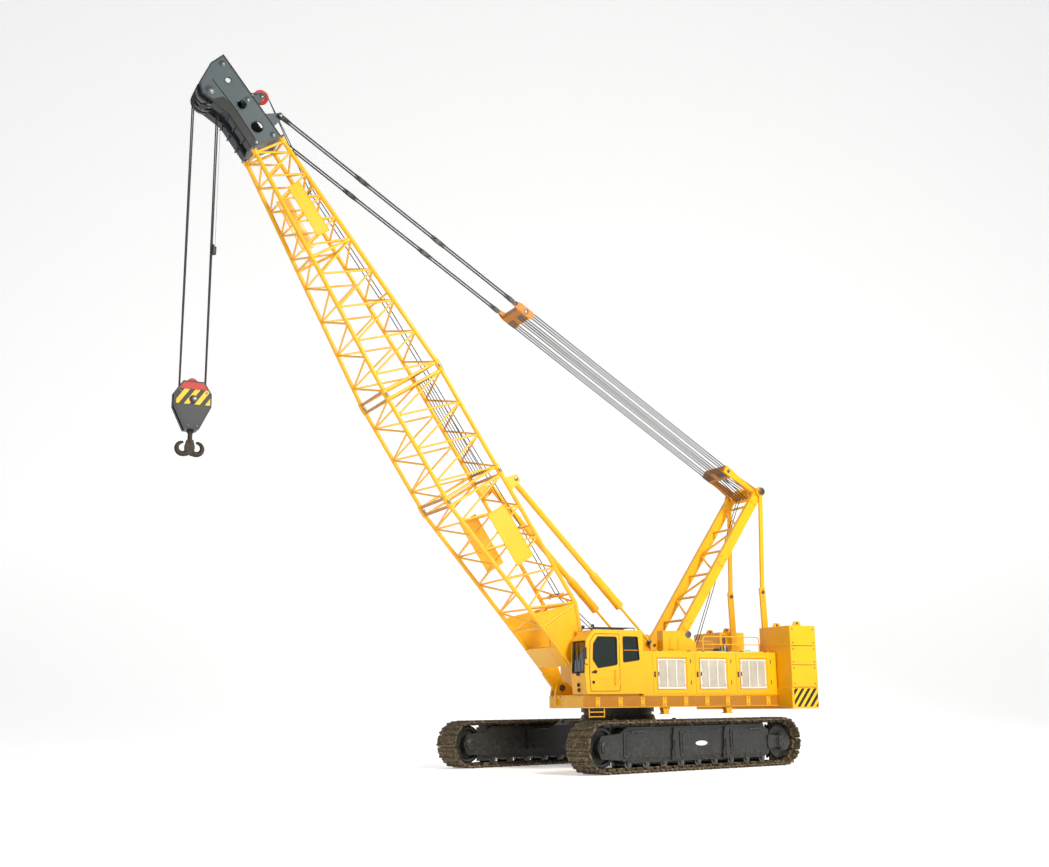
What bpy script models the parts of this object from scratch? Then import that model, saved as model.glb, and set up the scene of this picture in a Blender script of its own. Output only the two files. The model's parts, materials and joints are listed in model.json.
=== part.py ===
"""Crawler crane with a short lattice boom, as separate steel pieces in one frame.

Metres, +Z up, +X the way the boom points, +Y the cab's side.  The slewing axis is vertical.
The undercarriage stands turned by UNDER_YAW below the superstructure, and everything is
shifted along X at the end so that the origin is the bottom centre of the whole machine.
"""
import math

import bmesh
import bpy
from mathutils import Matrix, Vector

for old in list(bpy.data.objects):
    bpy.data.objects.remove(old, do_unlink=True)

GAP = 0.0003            # between pieces that touch
RUN = 0.012             # beside a piece that moves

# ---- undercarriage
UNDER_YAW = math.radians(11.9)
TRACK_L, TRACK_H, SHOE_W = 7.28, 1.19, 0.80
GAUGE = 5.14            # between the tracks' centre planes
SHOE_T, GROUSER = 0.065, 0.030
SHOE_PITCH = 0.40
CARBODY_HALF = 1.15

# ---- superstructure
DECK_Z0, DECK_Z = 1.47, 1.755
HOUSE_Y, HOUSE_IN, HOUSE_TOP = 1.60, 1.00, 2.84
HOUSE_X0, HOUSE_X1 = -3.93, 0.19
RIGHT_X1 = 0.80         # front end of the right house
NOSE_X = 1.48           # front of the platform between the boom foot ears
CW_X0, CW_X1, CW_IN, CW_OUT = -4.78, -3.95, 0.92, 2.20
CW_Z0, CW_TRAY, CW_TOP = 1.39, 1.93, 3.51
CAB_X0, CAB_X1, CAB_IN, CAB_OUT = 0.22, 1.88, 0.98, 1.70
CAB_FLOOR, CAB_TOP, SKIN = 1.80, 3.34, 0.045

# ---- boom, along its own axis from the foot pin
FOOT_X, FOOT_Z = 1.27, 1.985
BOOM_ANGLE = math.radians(57.1)
HALF, CHORD_R, LACE_R = 0.82, 0.055, 0.026
LUG = (HALF - 0.060, HALF + 0.060)      # across each foot lug
S_FOOT, S_INSERT, S_TIP = 5.80, 8.80, 15.60
TIP_HALF = 0.40
HEAD_PLATE_Y, PLATE = 0.42, 0.03
FALL_GAP = 0.16         # half the slot left for the falls below the head
SHEAVE_S, SHEAVE_N, SHEAVE_R = 17.29, -0.64, 0.31
PENDANT_S, PENDANT_N, PENDANT_Y = 16.08, 0.63, 0.47

# ---- gantry and luffing gear
GANTRY_FOOT = (-1.62, 3.33)
GANTRY_HEAD = (-4.36, 7.30)
GANTRY_Y = 0.62
SPREAD_LEN, BRIDLE_AT = 1.05, 8.33
ROPE_R = 0.014

# ---- backstops
STOP_DECK = (-0.73, 3.04)
STOP_BOOM = (5.38, 1.12)     # along and above the boom's axis
STOP_Y = HALF - 0.20         # the tubes lie just inside the chords

# ---- hook
BLOCK_TOP, BLOCK_PIN, BLOCK_BOT = 8.95, 8.52, 7.82


def hole_r(r, n=24):
    """Radius of an n-sided hole in which a round pin of radius r just runs."""
    return (r + GAP) / math.cos(math.pi / n)


def material(name, rgb, metal=0.0, rough=0.45):
    m = bpy.data.materials.new(name)
    m.use_nodes = True
    b = m.node_tree.nodes["Principled BSDF"]
    b.inputs["Base Color"].default_value = (*rgb, 1.0)
    b.inputs["Metallic"].default_value = metal
    b.inputs["Roughness"].default_value = rough
    return m


YELLOW = (0.93, 0.60, 0.012)
COLOURS = {
    "yellow": (YELLOW, 0.0, 0.35), "dark": ((0.02, 0.024, 0.026), 0.2, 0.5),
    "slate": ((0.11, 0.155, 0.17), 0.2, 0.45), "shoe": ((0.16, 0.12, 0.07), 0.3, 0.7),
    "grille": ((0.78, 0.75, 0.68), 0.2, 0.4), "steel": ((0.30, 0.30, 0.31), 0.9, 0.35),
    "glass": ((0.02, 0.04, 0.04), 0.0, 0.05), "red": ((0.55, 0.05, 0.02), 0.0, 0.4),
    "bridle": ((0.40, 0.14, 0.012), 0.1, 0.5), "seat": ((0.03, 0.03, 0.035), 0.0, 0.8),
    "rope": ((0.25, 0.25, 0.26), 0.8, 0.45),
}


# ---------------------------------------------------------------- shapes
def quad_strip(bm, rings, close_ends=True, loop=False):
    """Join rings of vertices with quads; the ends are capped unless the strip is a loop."""
    vs = [[bm.verts.new(p) for p in ring] for ring in rings]
    n = len(vs[0])
    pairs = len(vs) if loop else len(vs) - 1
    for i in range(pairs):
        a, b = vs[i], vs[(i + 1) % len(vs)]
        for j in range(n):
            bm.faces.new((a[j], a[(j + 1) % n], b[(j + 1) % n], b[j]))
    if close_ends and not loop:
        bm.faces.new(list(reversed(vs[0])))
        bm.faces.new(vs[-1])


def box(x0, x1, y0, y1, z0, z1):
    def make(bm):
        ring = lambda z: [(x0, y0, z), (x1, y0, z), (x1, y1, z), (x0, y1, z)]
        quad_strip(bm, [ring(z0), ring(z1)])
    return make


def prism(pts, y0, y1):
    """A polygon in the XZ plane carried from y0 to y1."""
    def make(bm):
        quad_strip(bm, [[(x, y, z) for x, z in pts] for y in (y0, y1)])
    return make


def cyl(p0, p1, r, n=12, r1=None):
    """A straight round bar from p0 to p1."""
    def make(bm):
        a, b = Vector(p0), Vector(p1)
        d = (b - a).normalized()
        side = Vector((0, 1, 0)) if abs(d.y) < 0.9 else Vector((1, 0, 0))
        u = d.cross(side).normalized()
        v = d.cross(u)
        rings = []
        for c, rad in ((a, r), (b, r if r1 is None else r1)):
            rings.append([c + rad * (math.cos(t) * u + math.sin(t) * v)
                          for t in (2 * math.pi * (k + 0.5) / n for k in range(n))])
        quad_strip(bm, rings)
    return make


def turned(centre, profile, n=32):
    """A body of revolution about Y: the profile's (radius, y) pairs go round centre."""
    def make(bm):
        cx, cy, cz = centre
        rings = []
        for k in range(n):
            t = 2 * math.pi * k / n
            rings.append([(cx + r * math.cos(t), cy + y, cz + r * math.sin(t)) for r, y in profile])
        quad_strip(bm, rings, loop=True)
    return make


def turned_z(centre, profile, n=48):
    """A body of revolution about Z from (radius, z) pairs."""
    def make(bm):
        cx, cy, cz = centre
        rings = []
        for k in range(n):
            t = 2 * math.pi * k / n
            rings.append([(cx + r * math.cos(t), cy + r * math.sin(t), cz + z) for r, z in profile])
        quad_strip(bm, rings, loop=True)
    return make


def bent(path, r, n=8):
    """A round bar swept along a bent path in any plane."""
    def make(bm):
        pts = [Vector(p) for p in path]
        rings = []
        for i, p in enumerate(pts):
            a = pts[max(i - 1, 0)]
            b = pts[min(i + 1, len(pts) - 1)]
            d = (b - a).normalized()
            side = Vector((0, 1, 0)) if abs(d.y) < 0.9 else Vector((1, 0, 0))
            u = d.cross(side).normalized()
            v = d.cross(u)
            rings.append([p + r * (math.cos(t) * u + math.sin(t) * v)
                          for t in (2 * math.pi * k / n for k in range(n))])
        quad_strip(bm, rings)
    return make


def raw(name, shapes):
    bm = bmesh.new()
    for s in shapes:
        s(bm)
    bmesh.ops.recalc_face_normals(bm, faces=bm.faces)
    me = bpy.data.meshes.new(name)
    bm.to_mesh(me)
    bm.free()
    ob = bpy.data.objects.new(name, me)
    bpy.context.collection.objects.link(ob)
    return ob


def boolean(ob, other, op, own=False):
    other.hide_render = True
    other.display_type = "WIRE"
    other.parent = ob.parent
    m = ob.modifiers.new(op.lower(), "BOOLEAN")
    m.operation = op
    m.solver = "EXACT"
    m.use_self = own
    m.object = other


def piece(name, colour, shapes, cut=(), parent=None, origin=(0, 0, 0), smooth=False, bevel=0.0):
    """One named solid: the first shape with the others joined on and the cuts taken out."""
    ob = raw(name, shapes[:1])
    ob.parent = parent
    moved = []
    if len(shapes) > 1:
        add = raw(name + "_add", shapes[1:])
        boolean(ob, add, "UNION", own=True)
        moved.append(add)
    if cut:
        hole = raw(name + "_cut", cut)
        boolean(ob, hole, "DIFFERENCE", own=len(cut) > 1)
        moved.append(hole)
    for o in [ob] + moved:
        o.data.transform(Matrix.Translation(-Vector(origin)))
        o.location = origin
    if bevel:
        b = ob.modifiers.new("edge", "BEVEL")
        b.width = bevel
        b.segments = 1
        b.limit_method = "ANGLE"
        b.angle_limit = math.radians(40)
    if smooth:
        ob.data.polygons.foreach_set("use_smooth", [True] * len(ob.data.polygons))
    rgb, metal, rough = COLOURS[colour]
    ob.data.materials.append(material(name, rgb, metal, rough))
    return ob


def empty(name, loc=(0, 0, 0), yaw=0.0, pitch=0.0):
    e = bpy.data.objects.new(name, None)
    e.location = loc
    e.rotation_euler = (0.0, -pitch, yaw)
    bpy.context.collection.objects.link(e)
    return e


# ---------------------------------------------------------------- undercarriage
under = empty("undercarriage_frame", yaw=UNDER_YAW)
TR = TRACK_H / 2
WHEEL_X = TRACK_L / 2 - TR
LOOP_IN = TR - GROUSER - SHOE_T
SHOES = round((4 * WHEEL_X + 2 * math.pi * LOOP_IN) / SHOE_PITCH)


def loop_point(u, r):
    """Point and direction at length u along the racetrack of radius r about the wheels."""
    straight, arc = 2 * WHEEL_X, math.pi * r
    u = u % (2 * straight + 2 * arc)
    if u < straight:
        return (-WHEEL_X + u, TR - r)
    u -= straight
    if u < arc:
        t = -math.pi / 2 + u / r
        return (WHEEL_X + r * math.cos(t), TR + r * math.sin(t))
    u -= arc
    if u < straight:
        return (WHEEL_X - u, TR + r)
    t = math.pi / 2 + (u - straight) / r
    return (-WHEEL_X + r * math.cos(t), TR + r * math.sin(t))


def track(yc):
    """Closed loop whose outer outline carries one grouser bar per shoe."""
    rings = []
    lin = 4 * WHEEL_X + 2 * math.pi * LOOP_IN
    plate, tip = LOOP_IN + SHOE_T, TR
    for k in range(SHOES):
        for f, r in ((0.02, plate), (0.08, tip), (0.18, tip), (0.24, plate), (0.63, plate)):
            inner = (k + f) / SHOES
            x, z = loop_point(inner * (4 * WHEEL_X + 2 * math.pi * r), r)
            xi, zi = loop_point(inner * lin, LOOP_IN)
            rings.append([(xi, yc - SHOE_W / 2, zi), (x, yc - SHOE_W / 2, z),
                          (x, yc + SHOE_W / 2, z), (xi, yc + SHOE_W / 2, zi)])
    return lambda bm: quad_strip(bm, rings, loop=True)


FRAME_W = 0.56
ROLLERS = 9
for side, tag in ((1, "left"), (-1, "right")):
    yc = side * GAUGE / 2
    piece(tag + "_track", "shoe", [track(yc)], parent=under)
    # side frame: long box beam with raised ends, rollers carried below
    f0, f1 = yc - FRAME_W / 2, yc + FRAME_W / 2
    wx = WHEEL_X - 0.50
    outline = [(-wx, 0.34), (-wx + 0.12, 0.25), (wx - 0.12, 0.25), (wx, 0.34), (wx, 0.90),
               (wx - 0.18, 1.03), (-wx + 0.18, 1.03), (-wx, 0.90)]
    shapes = [prism(outline, f0, f1)]
    for k in range(ROLLERS):
        x = -wx + 0.30 + k * (2 * wx - 0.60) / (ROLLERS - 1)
        rr = 0.105
        z = TR - LOOP_IN + rr * math.cos(math.pi / 12) + GAP
        shapes.append(cyl((x, f0 + 0.02, z), (x, f1 - 0.02, z), rr, 12))
    for x in (-1.3, 0.1, 1.45):
        rr = 0.055
        z = TR + LOOP_IN - rr * math.cos(math.pi / 12) - GAP
        shapes.append(cyl((x, f0 + 0.10, z), (x, f1 - 0.10, z), rr, 12))
        shapes.append(box(x - 0.05, x + 0.05, yc - 0.05, yc + 0.05, 0.9, z))
    for sx in (-1, 1):
        # the idler's fork is deeper than the sprocket's
        d, e = (0.30, 0.15) if sx > 0 else (0.17, 0.10)
        fork = [(sx * (wx - 0.05), TR - d), (sx * (WHEEL_X + 0.10), TR - d + 0.05), (sx * (WHEEL_X + e + 0.05), TR),
                (sx * (WHEEL_X + 0.10), TR + d - 0.05), (sx * (wx - 0.05), TR + d)]
        for y0, y1 in ((f0, f0 + 0.10), (f1 - 0.10, f1)):
            shapes.append(prism(fork, y0, y1))
    # raised stiffeners on the outer face
    yo = f1 if side > 0 else f0
    for x in (-0.95, 0.80):
        shapes.append(box(x - 0.09, x + 0.09, min(yo, yo + side * 0.05) - 0.01, max(yo, yo + side * 0.05) + 0.01,
                          0.30, 0.94))
    piece(tag + "_track_frame", "dark", shapes, parent=under)
    for sx, what, hub in ((-1, "sprocket", 0.15), (1, "idler", 0.11)):
        w = FRAME_W / 2 - 0.12
        rim, seat = LOOP_IN - 0.0068, FRAME_W / 2 - 0.10 - GAP
        prof = [(rim, w * 0.7), (rim - 0.05, w), (hub + 0.05, w * 0.8), (hub, w * 0.8), (hub * 0.8, seat),
                (0.02, seat)]
        prof = prof + [(a, -b) for a, b in reversed(prof)]
        piece(f"{tag}_{what}", "dark", [turned((sx * WHEEL_X, yc, TR), prof, 18)], parent=under,
              origin=(sx * WHEEL_X, yc, TR), smooth=False)

# carbody: centre box, two cross axles, ring seat
ax_in = GAUGE / 2 - FRAME_W / 2 - GAP
c = CARBODY_HALF
shapes = [prism([(-c, 0.48), (c, 0.48), (c, 1.06), (c - 0.15, 1.16), (-c + 0.15, 1.16), (-c, 1.06)], -c, c)]
for sx in (-1, 1):
    shapes.append(box(sx * 0.88 - 0.26, sx * 0.88 + 0.26, -ax_in, ax_in, 0.46, 0.95))
shapes.append(turned_z((0, 0, 0), [(0.55, 1.05), (1.02, 1.05), (0.94, 1.27), (0.88, 1.27), (0.88, 1.36),
                                   (0.55, 1.36)], 40))
piece("carbody", "dark", shapes, parent=under)

# ---------------------------------------------------------------- superstructure
turn = empty("slew_axis")
piece("slew_ring_upper", "steel", [turned_z((0, 0, 0), [(0.58, 1.36 + GAP), (0.94, 1.36 + GAP),
                                                       (0.94, DECK_Z0 - GAP), (0.58, DECK_Z0 - GAP)], 48)],
      parent=turn)
# platform: deep frame, nose, boom foot ears, gantry feet, rear cross beam
EAR_IN, EAR_OUT = (LUG[0] - 0.120, LUG[0] - 0.025), (LUG[1] + 0.025, LUG[1] + 0.075)
deck = [box(HOUSE_X0, RIGHT_X1 + 0.14, -HOUSE_Y, HOUSE_Y, DECK_Z0, DECK_Z),
        box(RIGHT_X1, 1.90, 0.60, HOUSE_Y, DECK_Z0, DECK_Z),
        box(RIGHT_X1, NOSE_X, -0.96, 0.96, DECK_Z0, 1.79),
        box(CW_X0 + 0.10, HOUSE_X0 + 0.1, -0.85, 0.85, 1.50, 1.74)]
for side in (-1, 1):
    for a, b in (EAR_IN, EAR_OUT):
        ear = [(0.95, 1.70), (1.46, 1.70), (1.46, 1.84), (1.40, 2.13), (1.12, 2.13), (0.95, 1.95)]
        deck.append(prism(ear, min(side * a, side * b), max(side * a, side * b)))
BEAR = 0.64
DRUMS = (("front_winch_drum", -0.35, 2.25, 0.27), ("rear_winch_drum", -1.15, 2.25, 0.27),
         ("luff_winch_drum", -2.02, 2.22, 0.24))
for name, x, z, r in DRUMS:
    for s in (-1, 1):
        deck.append(prism([(x - 0.20, DECK_Z - 0.05), (x + 0.20, DECK_Z - 0.05), (x + 0.10, z + 0.12),
                           (x - 0.10, z + 0.12)], *sorted((s * (BEAR - 0.06), s * BEAR))))
for s in (-1, 1):
    deck.append(prism([(-0.84, DECK_Z - 0.05), (-0.84, 3.40), (-1.44, 3.40), (-1.86, 3.10),
                       (-1.86, DECK_Z - 0.05)], *sorted((s * 0.70, s * 0.97))))
    deck.append(prism([(-4.60, 1.70), (-4.02, 1.70), (-4.14, 3.10), (-4.44, 3.10)],
                      *sorted((s * (GANTRY_Y + 0.01), s * (GANTRY_Y + 0.085 - GAP)))))
    # seat of the backstop's deck pin
    deck.append(prism([(-1.00, 2.60), (-0.62, 2.70), (-0.62, 3.06), (-0.70, 3.16), (-1.00, 3.12)],
                      *sorted((s * (STOP_Y + 0.05 + RUN), s * 0.72))))
holes = [cyl((FOOT_X, s * (EAR_IN[0] - 0.04), FOOT_Z), (FOOT_X, s * (EAR_OUT[1] + 0.035), FOOT_Z),
             hole_r(0.065), 32) for s in (-1, 1)]
holes += [cyl((x, -0.8, z), (x, 0.8, z), hole_r(0.05), 32) for name, x, z, r in DRUMS]
piece("platform", "yellow", deck, parent=turn, cut=holes)
for side, tag in ((1, "left"), (-1, "right")):
    # house: closed cover with three recesses for the grilles
    x1 = HOUSE_X1 if side > 0 else RIGHT_X1
    y0, y1 = sorted((side * HOUSE_IN, side * HOUSE_Y))
    ye = side * HOUSE_Y
    cuts = []
    spans = ((-1.09, -0.24), (-2.33, -1.51), (-3.59, -2.76)) if side > 0 else ((-3.59, -0.24),)
    for a, b in spans:
        ya, yb = sorted((ye - side * 0.05, ye + side * 0.05))
        cuts.append(box(a, b, ya, yb, 1.90, 2.67))
    piece(f"{tag}_house", "yellow", [box(HOUSE_X0, x1, y0, y1, DECK_Z + GAP, HOUSE_TOP)], cut=cuts,
          parent=turn, bevel=0.015)
    for k, (a, b) in enumerate(spans):
        ya, yb = sorted((ye - side * (0.05 - GAP), ye - side * 0.004))
        piece(f"{tag}_grille_{k + 1}" if side > 0 else "right_louvre", "grille",
              [box(a + 0.012, b - 0.012, ya, yb, 1.912, 2.658)], parent=turn, bevel=0.006)
    # counterweight stack
    y0, y1 = sorted((side * CW_IN, side * CW_OUT))
    stack = [box(CW_X0, CW_X1, y0, y1, CW_TRAY + GAP, CW_TOP)]
    groove = []
    for z in (2.50, 2.99):
        groove += [box(CW_X0 - 0.1, CW_X0 + 0.012, y0 - 0.1, y1 + 0.1, z - 0.008, z + 0.008),
                   box(CW_X1 - 0.012, CW_X1 + 0.1, y0 - 0.1, y1 + 0.1, z - 0.008, z + 0.008)]
        yy = side * CW_OUT
        groove.append(box(CW_X0 - 0.05, CW_X1 + 0.05, *sorted((yy - side * 0.012, yy + side * 0.1)),
                          z - 0.008, z + 0.008))
    piece(f"{tag}_counterweight", "yellow", stack, cut=groove, parent=turn)

piece("counterweight_tray", "yellow",
      [box(CW_X0, HOUSE_X0 - GAP, -CW_OUT, CW_OUT, CW_Z0, CW_TRAY)],
      cut=[box(CW_X0 + 0.08, HOUSE_X0 + 0.2, -0.87, 0.87, 1.48, CW_TRAY + 0.2)],
      parent=turn, bevel=0.012)
# what lies between the houses
piece("engine_block", "dark", [box(-3.80, -2.55, -0.80, 0.80, DECK_Z + GAP, 2.62)], parent=turn, bevel=0.03)
for name, x, z, r in DRUMS:
    w = BEAR - 0.06 - RUN
    prof = [(0.05, BEAR), (0.05, w), (r + 0.10, w), (r + 0.10, w - 0.03), (r, w - 0.03), (r, -w + 0.03),
            (r + 0.10, -w + 0.03), (r + 0.10, -w), (0.05, -w), (0.05, -BEAR)]
    bar = [(0.018, BEAR)] + prof + [(0.018, -BEAR)]
    piece(name, "steel", [turned((x, 0, z), bar, 16)], parent=turn, origin=(x, 0, z))

# gantry: foot boxes, ladder mast, head, tension legs
gx0, gz0 = GANTRY_FOOT
gx1, gz1 = GANTRY_HEAD
gd = Vector((gx1 - gx0, 0, gz1 - gz0)).normalized()
gp = Vector((gd.z, 0, -gd.x))
LEG_W, LEG_D = 0.13, 0.26


def beam(p0, p1, y0, y1, depth, up=None):
    """A flat-sided bar in an XZ plane from p0 to p1, depth across and y0..y1 thick."""
    a, b = Vector((p0[0], 0, p0[1])), Vector((p1[0], 0, p1[1]))
    d = (b - a).normalized()
    n = Vector((-d.z, 0, d.x)) * depth / 2
    pts = [a - n, b - n, b + n, a + n]
    return prism([(p.x, p.z) for p in pts], y0, y1)


def on_gantry(t):
    return (gx0 + (gx1 - gx0) * t, gz0 + (gz1 - gz0) * t)


mast = []
for side in (1, -1):
    y0, y1 = sorted((side * (GANTRY_Y - LEG_W / 2), side * (GANTRY_Y + LEG_W / 2)))
    mast.append(beam(on_gantry(-0.055), on_gantry(0.985), y0, y1, LEG_D))
for s in (-1, 1):
    mast.append(cyl((gx0, s * 0.58, gz0), (gx0, s * (0.70 - GAP), gz0), 0.07, 12))
steps = [0.10, 0.26, 0.42, 0.58, 0.74, 0.90]
for k, t in enumerate(steps):
    x, z = on_gantry(t)
    mast.append(cyl((x, -GANTRY_Y, z), (x, GANTRY_Y, z), 0.035, 8))
    if k + 1 < len(steps):
        x2, z2 = on_gantry(steps[k + 1])
        s = 1 if k % 2 else -1
        mast.append(cyl((x, -s * GANTRY_Y, z), (x2, s * GANTRY_Y, z2), 0.03, 8))
hx, hz = GANTRY_HEAD
mast.append(cyl((hx, -0.80, hz), (hx, 0.80, hz), 0.085, 24))
for side in (1, -1):
    y0, y1 = sorted((side * 0.36, side * 0.44))
    lug = [(hx - 0.14, hz - 0.16), (hx + 0.10, hz - 0.18), (hx + 0.20, hz), (hx + 0.08, hz + 0.15),
           (hx - 0.12, hz + 0.15)]
    mast.append(prism(lug, y0, y1))
piece("gantry_mast", "yellow", mast, parent=turn)
for side, tag in ((1, "left"), (-1, "right")):
    y0, y1 = sorted((side * (GANTRY_Y + 0.085), side * (GANTRY_Y + 0.145)))
    leg = [beam((hx, hz), (-4.25, 4.40), y0, y1, 0.11),
           cyl((hx, y0, hz), (hx, y1, hz), 0.14, 20),
           beam((-4.25, 4.62), (-4.30, 2.90), y0, y1, 0.17)]
    piece(f"{tag}_tension_leg", "yellow", leg, parent=turn,
          cut=[cyl((hx, -1, hz), (hx, 1, hz), hole_r(0.085), 24)])

# ---------------------------------------------------------------- cab
ci, co = CAB_IN, CAB_OUT
side_line = [(CAB_X0, CAB_FLOOR), (1.84, CAB_FLOOR), (CAB_X1, 2.28), (1.84, 3.10), (1.62, CAB_TOP),
             (CAB_X0 + 0.08, CAB_TOP), (CAB_X0, CAB_TOP - 0.10)]


def inset(pts, d):
    """The polygon moved inwards by d along its edges' normals (anticlockwise outline)."""
    out = []
    n = len(pts)
    for i in range(n):
        p, q, r = Vector(pts[i - 1]), Vector(pts[i]), Vector(pts[(i + 1) % n])
        e1, e2 = (q - p).normalized(), (r - q).normalized()
        n1, n2 = Vector((-e1.y, e1.x)), Vector((-e2.y, e2.x))
        m = (n1 + n2) / (1 + n1.dot(n2))
        out.append(tuple(q + m * d))
    return out


DOOR = [(0.90, 1.86), (1.74, 1.86), (1.77, 2.30), (1.74, 3.06), (1.60, 3.25), (0.90, 3.25)]
DOOR_GLASS = [(0.98, 2.50), (1.52, 2.42), (1.66, 2.62), (1.64, 3.00), (1.52, 3.17), (0.98, 3.17)]
REAR_GLASS = [(0.34, 2.62), (0.80, 2.56), (0.80, 3.18), (0.38, 3.18)]
shell_cut = [prism(inset(side_line, SKIN), ci + SKIN, co - SKIN),
             prism(DOOR, co - 0.2, co + 0.2),
             prism(REAR_GLASS, co - 0.2, co + 0.2),
             prism([(0.40, 2.55), (1.60, 2.45), (1.66, 3.00), (1.52, 3.17), (0.40, 3.17)], ci - 0.2, ci + 0.2),
             box(1.60, 2.2, ci + 0.06, co - 0.06, 2.32, 3.06),
             box(0.0, 0.5, ci + 0.10, co - 0.10, 2.72, 3.12),
             box(0.60, 1.20, ci + 0.14, co - 0.14, 3.20, 3.60)]
piece("cab_shell", "yellow", [prism(side_line, ci, co),
                              box(0.30, 1.80, ci + 0.06, co - 0.12, DECK_Z + GAP, CAB_FLOOR + 0.01)],
      cut=shell_cut, parent=turn)
G = 0.008                                   # glass thickness
front = [(CAB_X1 - 0.030, 2.34), (CAB_X1 - 0.030 + G, 2.34), (1.836 - 0.03 + G, 3.05), (1.836 - 0.03, 3.05)]
piece("windshield", "glass", [prism(front, ci + 0.06 + GAP, co - 0.06 - GAP)], parent=turn)
piece("cab_rear_side_glass", "glass", [prism(inset(REAR_GLASS, GAP), co - 0.03, co - 0.03 + G)], parent=turn)
yc = (ci + co) / 2
piece("cab_seat", "seat", [box(0.62, 1.06, yc - 0.22, yc + 0.22, CAB_FLOOR + SKIN + GAP, 2.26),
                           prism([(0.52, 2.12), (0.70, 2.12), (0.60, 2.84), (0.47, 2.84)], yc - 0.22, yc + 0.22)],
      parent=turn)
piece("cab_console", "seat", [prism([(1.40, CAB_FLOOR + SKIN + GAP), (1.62, CAB_FLOOR + SKIN + GAP),
                                     (1.66, 2.44), (1.44, 2.38)], yc - 0.20, yc + 0.20)], parent=turn)
DOOR_X = 0.885
door_y = co + 0.012 + GAP
shapes = [prism(inset(DOOR, 0.006), co - 0.035, co + 0.002)]
for z in (2.02, 2.98):
    shapes.append(cyl((DOOR_X, door_y, z), (DOOR_X, door_y, z + 0.12), 0.012, 12))
    shapes.append(box(DOOR_X, 0.965, co + 0.0006, co + 0.010, z, z + 0.12))
piece("cab_door", "yellow", shapes, cut=[prism(DOOR_GLASS, co - 0.2, co + 0.2)], parent=turn,
      origin=(DOOR_X, door_y, 2.5))
piece("cab_door_glass", "glass", [prism(inset(DOOR_GLASS, GAP), co - 0.022, co - 0.022 + G)], parent=turn,
      origin=(DOOR_X, door_y, 2.5))

# ---------------------------------------------------------------- boom
boom = empty("boom_pivot", (FOOT_X, 0, FOOT_Z), pitch=BOOM_ANGLE)


def lattice(stations):
    """Four chords through the stations (s, half width, lower n, upper n)."""
    out = []

    def corner(st, sy, up):
        s, w, lo, hi = st
        return (s, sy * w, hi if up else lo)
    for sy in (1, -1):
        for up in (False, True):
            for a, b in zip(stations[:-1], stations[1:]):
                out.append((corner(a, sy, up), corner(b, sy, up)))
    return out


def at(stations, s):
    for a, b in zip(stations[:-1], stations[1:]):
        if a[0] - 1e-9 <= s <= b[0] + 1e-9:
            t = (s - a[0]) / (b[0] - a[0])
            return tuple(a[k] + (b[k] - a[k]) * t for k in range(4))
    raise ValueError(s)


def laces(stations, points):
    """Zigzag laces: top and bottom faces in phase, sides in the other phase."""
    out = []
    for k, (a, b) in enumerate(zip(points[:-1], points[1:])):
        pa, pb = at(stations, a), at(stations, b)
        s = 1 if k % 2 else -1
        for j in (2, 3):
            out.append(((pa[0], -s * pa[1], pa[j]), (pb[0], s * pb[1], pb[j])))
        lo, hi = (2, 3) if s > 0 else (3, 2)
        for sy in (1, -1):
            out.append(((pa[0], sy * pa[1], pa[lo]), (pb[0], sy * pb[1], pb[hi])))
    return out


def frame(stations, s):
    p = at(stations, s)
    c4 = [(p[0], p[1], p[2]), (p[0], p[1], p[3]), (p[0], -p[1], p[3]), (p[0], -p[1], p[2])]
    return [(c4[i], c4[(i + 1) % 4]) for i in range(4)]


def spread(a, b, n):
    return [a + (b - a) * k / n for k in range(n + 1)]


JOINT = 0.11            # straight pin connector at each chord end
foot_st = [(0.42, HALF, -0.10, 0.16), (1.92, HALF, -0.30, HALF), (S_FOOT - JOINT, HALF, -HALF, HALF)]
insert_st = [(S_FOOT + JOINT, HALF, -HALF, HALF), (S_INSERT - JOINT, HALF, -HALF, HALF)]
tip_st = [(S_INSERT + JOINT, HALF, -HALF, HALF), (S_TIP - JOINT, TIP_HALF, -TIP_HALF, TIP_HALF)]


def section(name, st, pts, frames, ends, extra=(), cut=()):
    bars = [cyl(a, b, CHORD_R, 8) for a, b in lattice(st)]
    for s in frames:
        bars += [cyl(a, b, 0.034, 6) for a, b in frame(st, s)]
    bars += [cyl(a, b, LACE_R, 4) for a, b in laces(st, pts)]
    for s, way in ends:
        for y, n in ((1, 1), (1, -1), (-1, 1), (-1, -1)):
            w = at(st, s)[1]
            bars.append(cyl((s - way * 0.05, y * w, n * w), (s + way * (JOINT - GAP / 2), y * w, n * w), 0.075, 10))
    return piece(name, "yellow", bars + list(extra), cut=cut, parent=boom)


side_plate = [(0.30, -0.16), (2.34, -0.40), (1.93, HALF + 0.03), (1.75, HALF - 0.02), (0.20, 0.16)]
extra = []
for side in (1, -1):
    y0, y1 = sorted((side * LUG[0], side * LUG[1]))
    lug = [(0.14 * math.cos(t), 0.14 * math.sin(t)) for t in
           (math.pi / 2 + math.pi * k / 8 for k in range(9))] + [(0.55, -0.20), (0.55, 0.28)]
    extra.append(prism(lug, y0, y1))
    extra.append(prism(side_plate, *sorted((side * (HALF - 0.015), side * (HALF + 0.015)))))
    extra.append(cyl((0, side * (EAR_IN[0] - 0.01), 0), (0, side * (EAR_OUT[1] + 0.01), 0), 0.065, 24))
    # lug for the backstop on the upper chord
    extra.append(prism([(S_FOOT - 0.62, HALF), (S_FOOT - 0.22, HALF), (STOP_BOOM[0] + 0.09, STOP_BOOM[1] + 0.09),
                        (STOP_BOOM[0] - 0.09, STOP_BOOM[1] + 0.09)],
                       *sorted((side * (STOP_Y + 0.13), side * (STOP_Y + 0.20)))))
extra.append(prism([(0.75, -0.22), (1.35, -0.30), (1.35, -0.24), (0.75, -0.16)], -HALF, HALF))
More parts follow.
